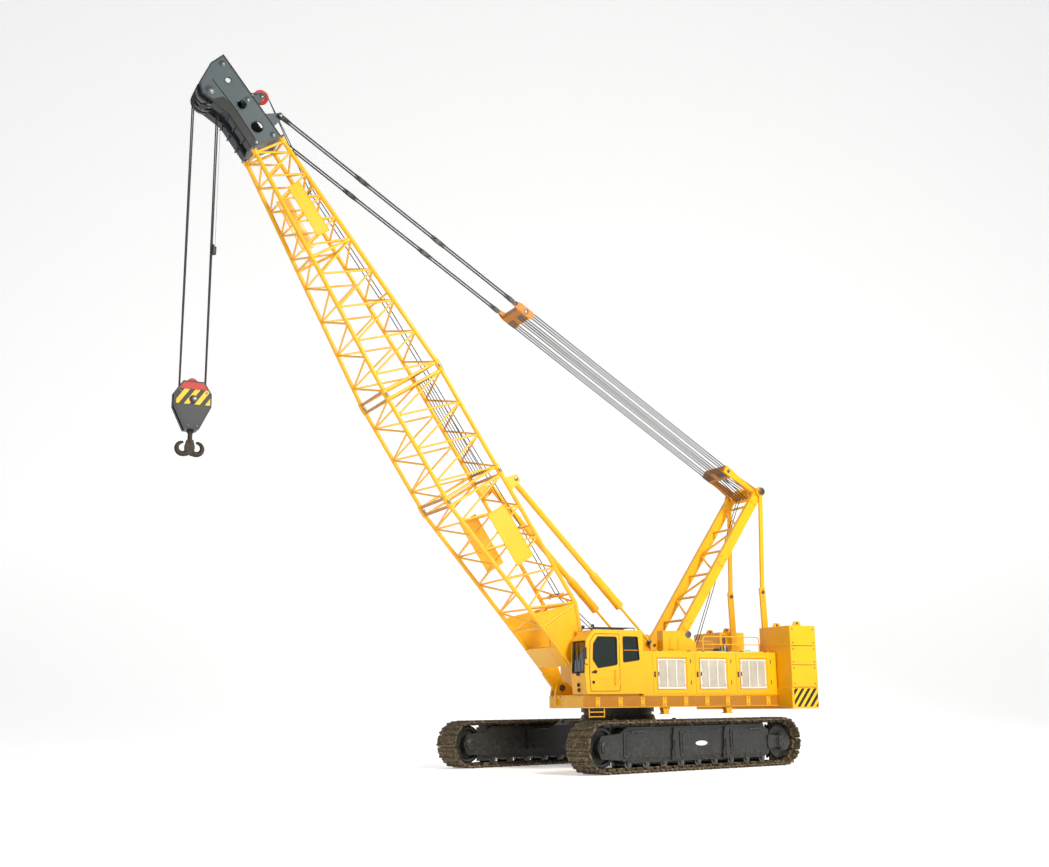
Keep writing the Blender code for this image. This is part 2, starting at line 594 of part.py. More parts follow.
section("boom_foot", foot_st, [1.96] + spread(2.52, S_FOOT - JOINT, 7), (1.92, S_FOOT - JOINT),
        ((S_FOOT - JOINT, 1),), extra)
section("boom_insert", insert_st, spread(S_FOOT + JOINT, S_INSERT - JOINT, 6),
        (S_FOOT + JOINT, S_INSERT - JOINT), ((S_FOOT + JOINT, -1), (S_INSERT - JOINT, 1)))
section("boom_tip", tip_st, spread(S_INSERT + JOINT, 12.6, 8) + spread(12.6, S_TIP - JOINT, 9)[1:],
        (S_INSERT + JOINT, 12.6, S_TIP - JOINT), ((S_INSERT + JOINT, -1), (S_TIP - JOINT, 1)))
for side, tag in ((1, "left"), (-1, "right")):
    for nm, s0, s1, n0, n1, st, lean in (("foot", 3.55, 5.01, -0.08, 0.44, foot_st, 0.0),
                                         ("tip", 13.0, 14.39, -0.17, 0.17, tip_st, 0.0012)):
        w0, w1 = (at(st, s)[1] + LACE_R * math.cos(math.pi / 4) + lean + GAP for s in (s0, s1))
        # board strapped outside the lacing, leaning with the chord
        def board(bm, s0=s0, s1=s1, n0=n0, n1=n1, w0=w0, w1=w1, side=side):
            t = 0.02
            quad_strip(bm, [[(s, side * w, n0), (s, side * (w + t), n0), (s, side * (w + t), n1),
                             (s, side * w, n1)] for s, w in ((s0, w0), (s1, w1))])
        piece(f"{tag}_{nm}_board", "yellow", [board], parent=boom)

# boom head: two side plates, cross tubes and pins
plate = [(S_TIP, 0.40), (17.98, 0.15), (17.90, -0.26), (17.56, -0.78), (17.28, -0.86), (17.02, -0.72),
         (16.60, -0.52), (S_TIP, -0.45)]
hp = HEAD_PLATE_Y
shapes = [prism(plate, hp, hp + PLATE), prism(plate, -hp - PLATE, -hp)]
for s, n, r in ((S_TIP + 0.12, 0.22, 0.05), (S_TIP + 0.12, -0.28, 0.05), (17.78, 0.0, 0.05), (16.75, 0.10, 0.05)):
    shapes.append(cyl((s, -hp - 0.01, n), (s, hp + 0.01, n), r, 10))
shapes.append(box(S_TIP, S_TIP + 0.03, -hp - 0.055, hp + 0.055, -0.475, 0.475))
# lower closing plates; the falls pass between them when the boom stands steep
for side in (1, -1):
    shapes.append(prism([(S_TIP, -0.45), (16.60, -0.52), (16.60, -0.49), (S_TIP, -0.42)],
                        *sorted((side * FALL_GAP, side * (hp + 0.01)))))
for side in (1, -1):
    y0, y1 = sorted((side * (hp + 0.005), side * (hp + PLATE)))
    shapes.append(prism([(PENDANT_S - 0.20, 0.30), (PENDANT_S + 0.20, 0.27), (PENDANT_S + 0.07, PENDANT_N + 0.07),
                         (PENDANT_S - 0.07, PENDANT_N + 0.07)], y0, y1))
    y0, y1 = sorted((side * 0.07, side * 0.09))
    shapes.append(prism([(16.55, 0.08), (16.95, 0.08), (16.87, 0.74), (16.75, 0.74)], y0, y1))
holes = [cyl((s, y0, n), (s, y1, n), r, 20) for s, n, r in ((17.35, -0.09, 0.07), (16.68, -0.10, 0.12),
                                                         (16.04, -0.05, 0.15))
         for y0, y1 in ((-hp - 0.1, -hp + 0.03), (hp - 0.03, hp + 0.1))]
holes.append(cyl((SHEAVE_S, -0.6, SHEAVE_N), (SHEAVE_S, 0.6, SHEAVE_N), hole_r(0.045), 24))
holes.append(cyl((16.81, -0.2, 0.66), (16.81, 0.2, 0.66), hole_r(0.025), 24))
piece("boom_head", "slate", shapes, cut=holes, parent=boom)
pin_w = hp + PLATE + 0.02


def sheaves(s, n, r, rows, w, pin, half, colour, name):
    """Sheaves side by side on one shaft, as one turning piece."""
    sh = [cyl((s, -half, n), (s, half, n), pin, 24)]
    for y in rows:
        prof = [(pin * 0.6, w / 2), (pin + 0.03, w / 2), (pin + 0.04, w * 0.2), (r - 0.07, w * 0.2),
                (r - 0.05, w / 2), (r, w / 2), (r - 0.03, w * 0.12)]
        prof = prof + [(a, -b) for a, b in reversed(prof)]
        sh.append(turned((s, y, n), prof, 15))
    return piece(name, colour, sh, parent=boom, origin=(s, 0, n))


sheaves(SHEAVE_S, SHEAVE_N, SHEAVE_R, (-0.22, 0.0, 0.22), 0.085, 0.045, pin_w, "dark", "head_sheaves")
sheaves(16.81, 0.66, 0.19, (0.0,), 0.075, 0.025, 0.11, "red", "guide_sheave")

# ---------------------------------------------------------------- luffing gear
pend = Vector((FOOT_X + PENDANT_S * math.cos(BOOM_ANGLE) - PENDANT_N * math.sin(BOOM_ANGLE), 0,
               FOOT_Z + PENDANT_S * math.sin(BOOM_ANGLE) + PENDANT_N * math.cos(BOOM_ANGLE)))
G0 = Vector((hx, 0, hz))
LINE = (pend - G0).length
LINE_ANGLE = math.atan2(pend.z - G0.z, pend.x - G0.x)
line = empty("luffing_line", (hx, 0, hz), pitch=LINE_ANGLE)
# spreader: two links on the gantry head tube, carrying the sheave block
shapes = [box(SPREAD_LEN - 0.16, SPREAD_LEN + 0.14, -0.50, 0.50, -0.11, 0.11)]
for side in (1, -1):
    y0, y1 = sorted((side * (0.44 + RUN), side * 0.50))
    link = [(0.13 * math.cos(t), 0.13 * math.sin(t)) for t in
            (math.pi / 2 + math.pi * k / 8 for k in range(9))] + [(SPREAD_LEN, -0.07), (SPREAD_LEN, 0.07)]
    shapes.append(prism(link, y0, y1))
piece("luffing_spreader", "red", shapes, cut=[cyl((0, -1, 0), (0, 1, 0), hole_r(0.085), 24)], parent=line)
BL = BRIDLE_AT
piece("floating_bridle", "bridle",
      [box(BL - 0.16, BL + 0.24, -0.46, 0.46, -0.12, 0.12)] +
      [prism([(BL + 0.10, -0.08), (BL + 0.42, -0.05), (BL + 0.42, 0.05), (BL + 0.10, 0.08)],
             *sorted((s * 0.40, s * 0.44))) for s in (-1, 1)], parent=line)
rope = [box(SPREAD_LEN + 0.14 + GAP, SPREAD_LEN + 0.20, -0.44, 0.44, -0.07, 0.07),
        box(BL - 0.22, BL - 0.16 - GAP, -0.42, 0.42, -0.07, 0.07)]
for y in (-0.40, -0.28, -0.16, 0.16, 0.28, 0.40):
    rope.append(cyl((SPREAD_LEN + 0.17, y, 0.0), (BL - 0.19, y * 0.98, 0.0), ROPE_R, 6))
piece("luffing_ropes", "rope", rope, parent=line)
for side, tag in ((1, "left"), (-1, "right")):
    ya, yb = side * (0.44 + 0.018 + GAP), side * (HEAD_PLATE_Y + PLATE + 0.018 + 0.006)
    a0, a1 = BL + 0.36, LINE

    def y_of(t, ya=ya, yb=yb):
        return ya + (yb - ya) * t
    sh = []
    for x0, x1 in ((a0 - 0.05, a0 + 0.24), (a1 - 0.26, a1 + 0.06)):
        t = 0.0 if x0 < a0 + 1 else 1.0
        yy = y_of(t)
        sh.append(box(x0, x1, yy - 0.018, yy + 0.018, -0.06, 0.06))
    for z in (-0.035, 0.035):
        sh.append(cyl((a0 + 0.20, y_of(0), z), (a1 - 0.22, y_of(1), z), 0.017, 8))
    piece(f"{tag}_pendant", "steel", sh, parent=line)

# ---------------------------------------------------------------- backstops
sb = Vector((FOOT_X + STOP_BOOM[0] * math.cos(BOOM_ANGLE) - STOP_BOOM[1] * math.sin(BOOM_ANGLE), 0,
             FOOT_Z + STOP_BOOM[0] * math.sin(BOOM_ANGLE) + STOP_BOOM[1] * math.cos(BOOM_ANGLE)))
sd = Vector((STOP_DECK[0], 0, STOP_DECK[1]))
STOP_LEN = (sb - sd).length
STOP_ANGLE = math.atan2(sb.z - sd.z, sb.x - sd.x)
stop = empty("backstop_line", (sd.x, 0, sd.z), pitch=STOP_ANGLE)
for side, tag in ((1, "left"), (-1, "right")):
    y = side * STOP_Y
    rod = [cyl((0.0, y, 0), (3.2, y, 0), 0.035, 12),
           cyl((0, y - 0.05, 0), (0, y + 0.05, 0), 0.075, 16),
           cyl((0, y, 0), (0, side * (STOP_Y + 0.05 + RUN - GAP), 0), 0.04, 12)]
    piece(f"{tag}_backstop_rod", "steel", rod, parent=stop)
    rings = [(0.042, 1.42), (hole_r(0.035, 20), 1.42), (hole_r(0.035, 20), 1.36), (0.115, 1.36),
             (0.115, 2.42), (0.080, 2.52), (0.080, STOP_LEN - 0.02),
             (0.042, STOP_LEN - 0.02)]

    def tube(bm, rings=rings, y=y):
        quad_strip(bm, [[(x, y + r * math.cos(t), r * math.sin(t)) for r, x in rings]
                        for t in (2 * math.pi * k / 20 for k in range(20))], loop=True)
    eye = [(STOP_LEN - 0.10, -0.05), (STOP_LEN + 0.06, -0.05), (STOP_LEN + 0.06, 0.05), (STOP_LEN - 0.10, 0.05)]
    a, b = sorted((side * (STOP_Y - 0.06), side * (STOP_Y + 0.13 - RUN)))
    piece(f"{tag}_backstop_tube", "yellow", [tube, prism(eye, a, b)], parent=stop)

# ---------------------------------------------------------------- hoist falls, block and hook
hs = Vector((FOOT_X + SHEAVE_S * math.cos(BOOM_ANGLE) - SHEAVE_N * math.sin(BOOM_ANGLE), 0,
             FOOT_Z + SHEAVE_S * math.sin(BOOM_ANGLE) + SHEAVE_N * math.cos(BOOM_ANGLE)))
falls = empty("falls", (hs.x, 0, hs.z))
rr = SHEAVE_R - 0.03 + ROPE_R + GAP + 0.0018
arc = [(rr * math.cos(t), 0.0, rr * math.sin(t)) for t in (math.pi * k / 16 for k in range(17))]
zb = BLOCK_PIN - hs.z
path = [(rr, 0, zb)] + arc + [(-rr, 0, zb)]
piece("hoist_ropes", "rope", [bent(path, ROPE_R, 8)], parent=falls)
bt = BLOCK_TOP - hs.z
bz = BLOCK_PIN - hs.z
bb = BLOCK_BOT - hs.z
cheek = [(-0.24, bt), (-0.42, bt - 0.28), (-0.42, bz - 0.16), (-0.16, bb), (0.16, bb), (0.42, bz - 0.16),
         (0.42, bt - 0.28), (0.24, bt)]
shapes = [prism(cheek, 0.075, 0.19), prism(cheek, -0.19, -0.075),
          prism([(-0.20, bz - 0.42), (0.20, bz - 0.42), (0.14, bb), (-0.14, bb)], -0.10, 0.10)]
piece("hook_block", "slate", shapes, cut=[cyl((0, -0.3, bz), (0, 0.3, bz), hole_r(0.04), 24)], parent=falls,
      bevel=0.0)
prof = [(0.024, 0.05), (0.07, 0.05), (0.08, 0.014), (0.24, 0.014), (0.26, 0.032), (SHEAVE_R, 0.032),
        (SHEAVE_R - 0.0282, 0.010)]
prof = prof + [(a, -b) for a, b in reversed(prof)]
piece("block_sheave", "dark", [cyl((0, -0.20, bz), (0, 0.20, bz), 0.04, 32), turned((0, 0, bz), prof, 18)],
      parent=falls, origin=(0, 0, bz))
# ramshorn hook: shank, two horns
shank = cyl((0, 0, bb - GAP), (0, 0, bb - 0.30), 0.055, 14)
horns = []
for s in (1, -1):
    pts = []
    for k in range(11):
        t = -math.pi / 2 + s * (-0.75 + k * (math.pi * 1.20) / 10)
        pts.append((s * 0.155 + 0.135 * math.cos(t), 0, bb - 0.42 + 0.135 * math.sin(t)))
    horns.append(bent(pts, 0.060, 8))
mid = prism([(-0.075, bb - 0.22), (0.075, bb - 0.22), (0.13, bb - 0.40), (0.10, bb - 0.60), (-0.10, bb - 0.60),
             (-0.13, bb - 0.40)], -0.045, 0.045)
piece("hook", "dark", [shank, mid] + horns, parent=falls)

# ---------------------------------------------------------------- common frame
bpy.context.view_layer.update()
graph = bpy.context.evaluated_depsgraph_get()
lo, hi = 1e9, -1e9
for ob in bpy.data.objects:
    if ob.type == "MESH" and not ob.hide_render:
        for corner in ob.evaluated_get(graph).bound_box:
            x = (ob.matrix_world @ Vector(corner)).x
            lo, hi = min(lo, x), max(hi, x)
SHIFT = -(lo + hi) / 2
for ob in bpy.data.objects:
    if ob.parent is None:
        ob.location.x += SHIFT
print("SHIFT", round(SHIFT, 6), "LINE", round(LINE, 4), round(math.degrees(LINE_ANGLE), 4), "STOP",
      round(STOP_LEN, 4), round(math.degrees(STOP_ANGLE), 4), "HS", round(hs.x, 4), round(hs.z, 4))
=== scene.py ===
"""Looks of a crawler crane, laid out as a Blender add-on that is run as a script.

Every added piece is a surface worked out on a parameter grid: a profile carried along a path,
a profile turned about an axis, or a plate outline given a thickness.
"""
import json
import math

import bmesh
import bpy
import numpy as np
from mathutils import Matrix, Vector

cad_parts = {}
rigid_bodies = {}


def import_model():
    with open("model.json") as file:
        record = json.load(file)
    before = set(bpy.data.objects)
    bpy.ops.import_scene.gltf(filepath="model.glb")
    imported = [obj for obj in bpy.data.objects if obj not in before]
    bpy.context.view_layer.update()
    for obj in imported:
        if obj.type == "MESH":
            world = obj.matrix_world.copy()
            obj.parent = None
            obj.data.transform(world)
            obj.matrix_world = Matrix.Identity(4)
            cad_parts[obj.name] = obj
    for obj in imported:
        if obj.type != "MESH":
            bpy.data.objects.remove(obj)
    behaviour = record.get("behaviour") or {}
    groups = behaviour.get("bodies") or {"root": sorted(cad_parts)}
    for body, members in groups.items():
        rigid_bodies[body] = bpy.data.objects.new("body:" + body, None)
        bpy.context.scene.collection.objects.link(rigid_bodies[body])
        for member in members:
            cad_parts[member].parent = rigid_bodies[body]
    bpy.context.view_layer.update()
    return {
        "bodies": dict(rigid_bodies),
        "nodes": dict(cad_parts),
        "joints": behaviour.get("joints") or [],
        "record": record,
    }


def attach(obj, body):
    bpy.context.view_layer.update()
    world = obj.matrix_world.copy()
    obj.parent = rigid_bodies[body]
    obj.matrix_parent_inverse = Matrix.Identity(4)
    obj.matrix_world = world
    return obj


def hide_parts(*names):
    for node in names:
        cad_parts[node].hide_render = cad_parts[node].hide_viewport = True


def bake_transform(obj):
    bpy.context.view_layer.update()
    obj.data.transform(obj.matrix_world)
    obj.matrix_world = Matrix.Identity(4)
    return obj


bl_info = {
    "name": "Crawler crane looks",
    "version": (1, 0, 0),
    "blender": (4, 5, 0),
    "location": "View3D > Sidebar > Crane",
    "description": "Builds the detail, materials, light and camera round a crawler crane's CAD frame",
    "category": "Object",
}

TAU = 2 * math.pi
YAW = math.radians(11.9)        # the undercarriage against the superstructure
TRACK_L, TRACK_H, SHOE_W, GAUGE = 7.28, 1.19, 0.80, 5.14
FRAME_W = 0.56
TR = TRACK_H / 2
WHEEL_X = TRACK_L / 2 - TR
LOOP_IN = TR - 0.095
HOUSE_Y, HOUSE_IN, HOUSE_TOP = 1.60, 1.00, 2.84
RIGHT_X1, NOSE_X = 0.80, 1.48
CW_X0, CW_X1, CW_IN, CW_OUT = -4.78, -3.95, 0.92, 2.20
CW_TOP = 3.51
CAB_X0, CAB_X1, CAB_IN, CAB_OUT = 0.22, 1.88, 0.98, 1.70
FOOT_X, FOOT_Z, BOOM_ANGLE = 1.27, 1.985, math.radians(57.1)
HALF, CHORD_R, LACE_R = 0.82, 0.055, 0.026
S_FOOT, S_INSERT, S_TIP, TIP_HALF, JOINT = 5.80, 8.80, 15.60, 0.40, 0.11
HEAD_Y, PLATE = 0.42, 0.03
SHEAVE_S, SHEAVE_N, SHEAVE_R = 17.29, -0.64, 0.31
PENDANT_S, PENDANT_N = 16.08, 0.63
GX, GZ = -4.36, 7.30            # gantry head tube
SPREAD_LEN, BRIDLE_AT = 1.05, 8.33
STOP_X, STOP_Z, STOP_Y = -0.73, 3.04, 0.62      # backstop eyes on the house
STOP_EYE_S, STOP_EYE_N = 5.38, 1.12             # and on the boom
GUIDE_S, GUIDE_N, GUIDE_R = 16.81, 0.66, 0.19   # sheave over the boom head
FOOT_ROLLERS, TIP_ROLLERS, TIP_BREAK = (2.2, 4.2), (11.0, 14.2), 12.6
MAST_X, MAST_Z, MAST_Y = -1.62, 3.33, 0.62      # gantry mast's feet
HOUSE_DOORS = ((-3.72, -2.64), (-2.46, -1.38), (-1.22, -0.11))
ROOF_LIDS = ((-3.75, -2.75), (-2.55, -1.55), (-1.35, -0.25))
LUFF_ROPE_Z = 0.121                             # strands above and below the luffing line
BLOCK_PIN, BLOCK_BOT = 8.52, 7.82
ROPE_R = 0.014
LAYS_PER_M, STRANDS = 7.0, 6    # lay of the wire ropes

CORNERS = ((-1, -1), (1, -1), (1, 1), (-1, 1))

FRAME = {}
MATS = {}


# ------------------------------------------------------------------ places
def move(x=0.0, y=0.0, z=0.0):
    """4x4 translation."""
    m = np.eye(4)
    m[:3, 3] = (x, y, z)
    return m


def turn(axis, a):
    """4x4 rotation by a about an axis."""
    return np.array(Matrix.Rotation(a, 4, axis))


def places():
    """4x4 matrices from each group's own axes to the row frame."""
    sx = next(j for j in FRAME["joints"] if j["name"] == "slew")["pos_m"][0]
    sup = move(x=sx)
    boom = sup @ move(FOOT_X, 0, FOOT_Z) @ turn("Y", -BOOM_ANGLE)
    pend = boom @ np.array((PENDANT_S, 0, PENDANT_N, 1.0))
    dx, dz = pend[0] - sx - GX, pend[2] - GZ
    eye = boom @ np.array((STOP_EYE_S, 0, STOP_EYE_N, 1.0))
    ex, ez = eye[0] - sx - STOP_X, eye[2] - STOP_Z
    head = boom @ np.array((SHEAVE_S, 0, SHEAVE_N, 1.0))
    return {
        "super": sup, "under": sup @ turn("Z", YAW), "boom": boom,
        "line": sup @ move(GX, 0, GZ) @ turn("Y", -math.atan2(dz, dx)), "line_len": math.hypot(dx, dz),
        "stop": sup @ move(STOP_X, 0, STOP_Z) @ turn("Y", -math.atan2(ez, ex)),
        "stop_len": math.hypot(ex, ez),
        "falls": move(head[0], 0, head[2]), "head_z": head[2],
    }


# ------------------------------------------------------------------ surfaces
def frames_along(path):
    """Tangent, normal and binormal at each point of a path, carried without twist."""
    p = np.asarray(path, float)
    t = np.gradient(p, axis=0)
    t /= np.linalg.norm(t, axis=1)[:, None]
    side = np.array((0, 1.0, 0)) if abs(t[0][1]) < 0.9 else np.array((1.0, 0, 0))
    u = np.cross(t[0], side)
    us = []
    for k in range(len(p)):
        u = u - t[k] * (u @ t[k])
        u = u / np.linalg.norm(u)
        us.append(u)
    us = np.array(us)
    return p, t, us, np.cross(t, us)


def circle(n):
    """Cosines and sines of n even steps round a full turn."""
    a = TAU * np.arange(n) / n
    return np.cos(a), np.sin(a)


def arc(cx, cz, r, a0, a1, n):
    """Points of a circular arc in a plane, angles in degrees."""
    a = np.radians(np.linspace(a0, a1, n))
    return list(zip(cx + r * np.cos(a), cz + r * np.sin(a)))


def rect(x0, z0, x1, z1):
    """Outline of an upright rectangle between two opposite corners."""
    return [(x0, z0), (x1, z0), (x1, z1), (x0, z1)]


def framing(x0, z0, x1, z1, sill, lintel, post):
    """Outlines of the sill, lintel and two posts of a rectangular frame."""
    return (rect(x0, z0, x1, z0 + sill), rect(x0, z1 - lintel, x1, z1),
            rect(x0, z0 + sill, x0 + post, z1 - lintel), rect(x1 - post, z0 + sill, x1, z1 - lintel))


def fillet(poly, r, n=4):
    """A closed outline with its corners rounded to radius r (or a list of radii)."""
    out = []
    m = len(poly)
    for i in range(m):
        p, q, s = (np.array(poly[j % m], float) for j in (i - 1, i, i + 1))
        ri = r[i] if hasattr(r, "__len__") else r
        a, b = p - q, s - q
        la, lb = np.linalg.norm(a), np.linalg.norm(b)
        a, b = a / la, b / lb
        ang = math.acos(np.clip(a @ b, -1, 1))
        d = min(ri / max(math.tan(ang / 2), 1e-6), la * 0.45, lb * 0.45)
        if ri <= 0 or ang > 3.1:
            out.append(tuple(q))
            continue
        for k in range(n + 1):
            t = k / n
            out.append(tuple((1 - t) ** 2 * (q + a * d) + 2 * t * (1 - t) * q + t * t * (q + b * d)))
    return out


class Solid:
    """Gathers surfaces, each given in one group's axes, into a single mesh object."""

    def __init__(self, place="super"):
        self.m = FRAME["places"][place] if isinstance(place, str) else place
        self.v, self.f, self.mi, self.uv, self.n = [], [], [], [], 0

    def add(self, verts, faces, mat=0, uv=None):
        """Puts vertices and faces, given in the group's axes, with the rest."""
        v = np.asarray(verts, float)
        self.v.append(v @ self.m[:3, :3].T + self.m[:3, 3])
        self.f += [tuple(i + self.n for i in f) for f in faces]
        self.mi += [mat] * len(faces)
        self.uv.append(np.zeros((len(v), 2)) if uv is None else uv)
        self.n += len(v)

    def grid(self, p, wrap_u=False, wrap_v=False, caps=False, mat=0, uv=None):
        """p[i, j] is a point at row i and column j; rows follow u, columns follow v."""
        p = np.asarray(p, float)
        a, b = p.shape[:2]
        fs = []
        for i in range(a if wrap_u else a - 1):
            for j in range(b if wrap_v else b - 1):
                i2, j2 = (i + 1) % a, (j + 1) % b
                fs.append((i * b + j, i * b + j2, i2 * b + j2, i2 * b + j))
        if caps:
            fs.append(tuple(range(b - 1, -1, -1)))
            fs.append(tuple((a - 1) * b + j for j in range(b)))
        self.add(p.reshape(-1, 3), fs, mat, uv)

    def tube(self, path, r, n=12, mat=0, closed=False):
        """P(u, v) = C(u) + r(u) (N(u) cos v + B(u) sin v) along the path C."""
        p, _, u, w = frames_along(path)
        r = np.broadcast_to(np.asarray(r, float), (len(p),))[:, None, None]
        c, s = circle(n)
        ring = p[:, None] + r * (u[:, None] * c[None, :, None] + w[:, None] * s[None, :, None])
        length = np.concatenate([[0], np.cumsum(np.linalg.norm(np.diff(p, axis=0), axis=1))])
        uv = np.stack(np.meshgrid(length, np.arange(n) / n, indexing="ij"), -1).reshape(-1, 2)
        self.grid(ring, wrap_u=closed, wrap_v=True, caps=not closed, mat=mat, uv=uv)

    def bar(self, a, b, r, n=12, mat=0):
        """A straight round bar."""
        self.tube([a, b], r, n, mat)

    def turned(self, base, axis, prof, n=32, mat=0, ring=False):
        """P(h, v) = base + h A + r(h) (E1 cos v + E2 sin v) from (r, h) profile points."""
        a = np.asarray(axis, float)
        a = a / np.linalg.norm(a)
        side = np.array((0, 0, 1.0)) if abs(a[2]) < 0.9 else np.array((1.0, 0, 0))
        e1 = np.cross(a, side)
        e1 /= np.linalg.norm(e1)
        e2 = np.cross(a, e1)
        c, s = circle(n)
        pr = np.asarray(prof, float)
        p = (np.asarray(base, float) + pr[:, 1][:, None, None] * a
             + pr[:, 0][:, None, None] * (e1 * c[:, None] + e2 * s[:, None])[None])
        self.grid(p, wrap_u=ring, wrap_v=True, caps=not ring, mat=mat)

    def disc(self, base, axis, r, h, n=28, edge=0.006, mat=0):
        """A round plate or pin head with a small rounded edge."""
        e = min(edge, h / 2, r / 3)
        self.turned(base, axis, [(r, 0), (r, h - e), (r - e * 0.3, h - e * 0.3), (r - e, h)], n, mat)

    def bolt(self, p, axis, r=0.016, h=0.012, mat=0):
        """Hexagon head on a washer."""
        self.turned(p, axis, [(r * 1.35, 0), (r * 1.35, h * 0.2), (r * 1.3, h * 0.25)], 12, mat)
        self.turned(p, axis, [(r, h * 0.2), (r, h * 0.85), (r * 0.85, h)], 6, mat)

    def bolt_ring(self, c, axis, ring, count, r=0.016, h=0.012, mat=0):
        """Bolts evenly spaced on a circle of radius ring round c, square to an axis of the group."""
        flat = [k for k in range(3) if not axis[k]]
        for step in zip(*circle(count)):
            p = np.array(c, float)
            p[flat] += ring * np.array(step)
            self.bolt(p, axis, r, h, mat)

    def prism(self, poly, y0, y1, mat=0):
        """An outline in the XZ plane given thickness between y0 and y1, in either order."""
        q = np.array([[(x, y, z) for x, z in poly] for y in (y0, y1)])
        self.grid(q, wrap_v=True, caps=True, mat=mat)

    def box(self, lo, hi, mat=0):
        """A block between two opposite corners."""
        x0, y0, z0 = lo
        x1, y1, z1 = hi
        self.prism(rect(x0, z0, x1, z1), y0, y1, mat)

    def beam(self, a, b, w, h, mat=0):
        """A flat bar from a to b, w across Y and h across the other way."""
        a, b = np.asarray(a, float), np.asarray(b, float)
        t = (b - a) / np.linalg.norm(b - a)
        y = np.array((0, 1.0, 0)) - t * t[1]
        if np.linalg.norm(y) < 0.2:
            y = np.array((1.0, 0, 0)) - t * t[0]
        y /= np.linalg.norm(y)
        z = np.cross(t, y)
        q = [[p + y * i * w / 2 + z * j * h / 2 for i, j in CORNERS] for p in (a, b)]
        self.grid(q, wrap_v=True, caps=True, mat=mat)

    def make(self, name, mats, body, bevel=0.0, stands_for=(), angle=38):
        """The finished object: from_pydata mesh, sharp edges by angle, on its CAD body."""
        me = bpy.data.meshes.new(name)
        v = np.concatenate(self.v)
        me.from_pydata(v.tolist(), [], self.f)
        me.polygons.foreach_set("material_index", self.mi)
        me.polygons.foreach_set("use_smooth", [True] * len(self.f))
        uv = np.concatenate(self.uv)
        idx = np.empty(len(me.loops), int)
        me.loops.foreach_get("vertex_index", idx)
        me.uv_layers.new(name="lay").data.foreach_set("uv", uv[idx].astype(np.float32).ravel())
        for m in mats if isinstance(mats, (list, tuple)) else [mats]:
            me.materials.append(MATS[m])
        me.validate()
        me.update()
        bm = bmesh.new()
        bm.from_mesh(me)
        bmesh.ops.recalc_face_normals(bm, faces=bm.faces)
        bm.to_mesh(me)
        bm.free()
        me.set_sharp_from_angle(angle=math.radians(angle))
        ob = bpy.data.objects.new(name, me)
        bpy.context.scene.collection.objects.link(ob)
        if bevel:
            b = ob.modifiers.new("rounded edges", "BEVEL")
            b.width, b.segments, b.limit_method = bevel, 2, "ANGLE"
            b.angle_limit = math.radians(42)
            b.harden_normals = False
        if isinstance(body, (list, tuple)):
            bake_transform(ob)
        else:
            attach(ob, body)
        if stands_for:
            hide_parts(*([stands_for] if isinstance(stands_for, str) else stands_for))
        return ob


# ------------------------------------------------------------------ materials
YELLOW = "yellow enamel on steel"
CHARCOAL = "charcoal enamel on undercarriage"
SHOE_STEEL = "dusty cast steel of shoes"
PIN_STEEL = "oiled steel of pins and sheaves"
BLACK_AND_SHADE = "black enamel and painted shade"
RUBBER = "black rubber and plastic"
AMBER_AND_SHADE = "amber enamel and painted shade"
RED = "red enamel on sheave hubs"
ROPE = "galvanised wire rope"
SLATE = "slate enamel on boom head"
GRAPHITE = "graphite enamel on hook block"
OCHRE = "ochre enamel on bridle"
GLASS = "tinted safety glass"
CLEAR_LENS = "clear lamp lens"
RED_LENS = "red lamp lens"
TAIL_BANDS = "hazard bands on counterweight"
BLOCK_BANDS = "hazard bands on hook block"
PALE = "pale enamel on grilles"
SHADED = "shaded enamel behind slats"
CLOTH = "seat cloth"
IRON = "forged iron of hook"
WHITE = "white enamel on blank plates"


def rgb(hexa):
    """sRGB hex to linear RGBA."""
    c = [int(hexa[i:i + 2], 16) / 255 for i in (1, 3, 5)]
    return tuple(x / 12.92 if x <= 0.04045 else ((x + 0.055) / 1.055) ** 2.4 for x in c) + (1.0,)


def node(tree, kind, links=None, **values):
    """Add a shader node, set its inputs or properties by name, and link inputs to sockets."""
    n = tree.nodes.new(kind)
    for k, v in values.items():
        key = k.replace("_", " ")
        if k in n.bl_rna.properties and k not in ("color",):
            setattr(n, k, v)
        else:
            sock = next(s for s in n.inputs if s.name.lower() == key.lower())
            sock.default_value = v
    for k, s in (links or {}).items():
        sock = n.inputs[k] if isinstance(k, int) else next(x for x in n.inputs if x.name == k and x.enabled)
        tree.links.new(s, sock)
    return n


def ramp(tree, fac, stops):
    """Colour ramp over fac with (position, RGBA) stops."""
    n = node(tree, "ShaderNodeValToRGB", {"Fac": fac})
    el = n.color_ramp.elements
    el[0].position, el[0].color = stops[0]
    el[1].position, el[1].color = stops[-1]
    for p, c in stops[1:-1]:
        e = el.new(p)
        e.color = c
    return n.outputs["Color"]


def mix(tree, fac, a, b):
    """Colour mix; a and b are sockets or RGBA values, fac a socket or a number."""
    n = tree.nodes.new("ShaderNodeMix")
    n.data_type = "RGBA"
    for i, x in ((0, fac), (6, a), (7, b)):
        if hasattr(x, "is_linked"):
            tree.links.new(x, n.inputs[i])
        else:
            n.inputs[i].default_value = x
    return n.outputs[2]


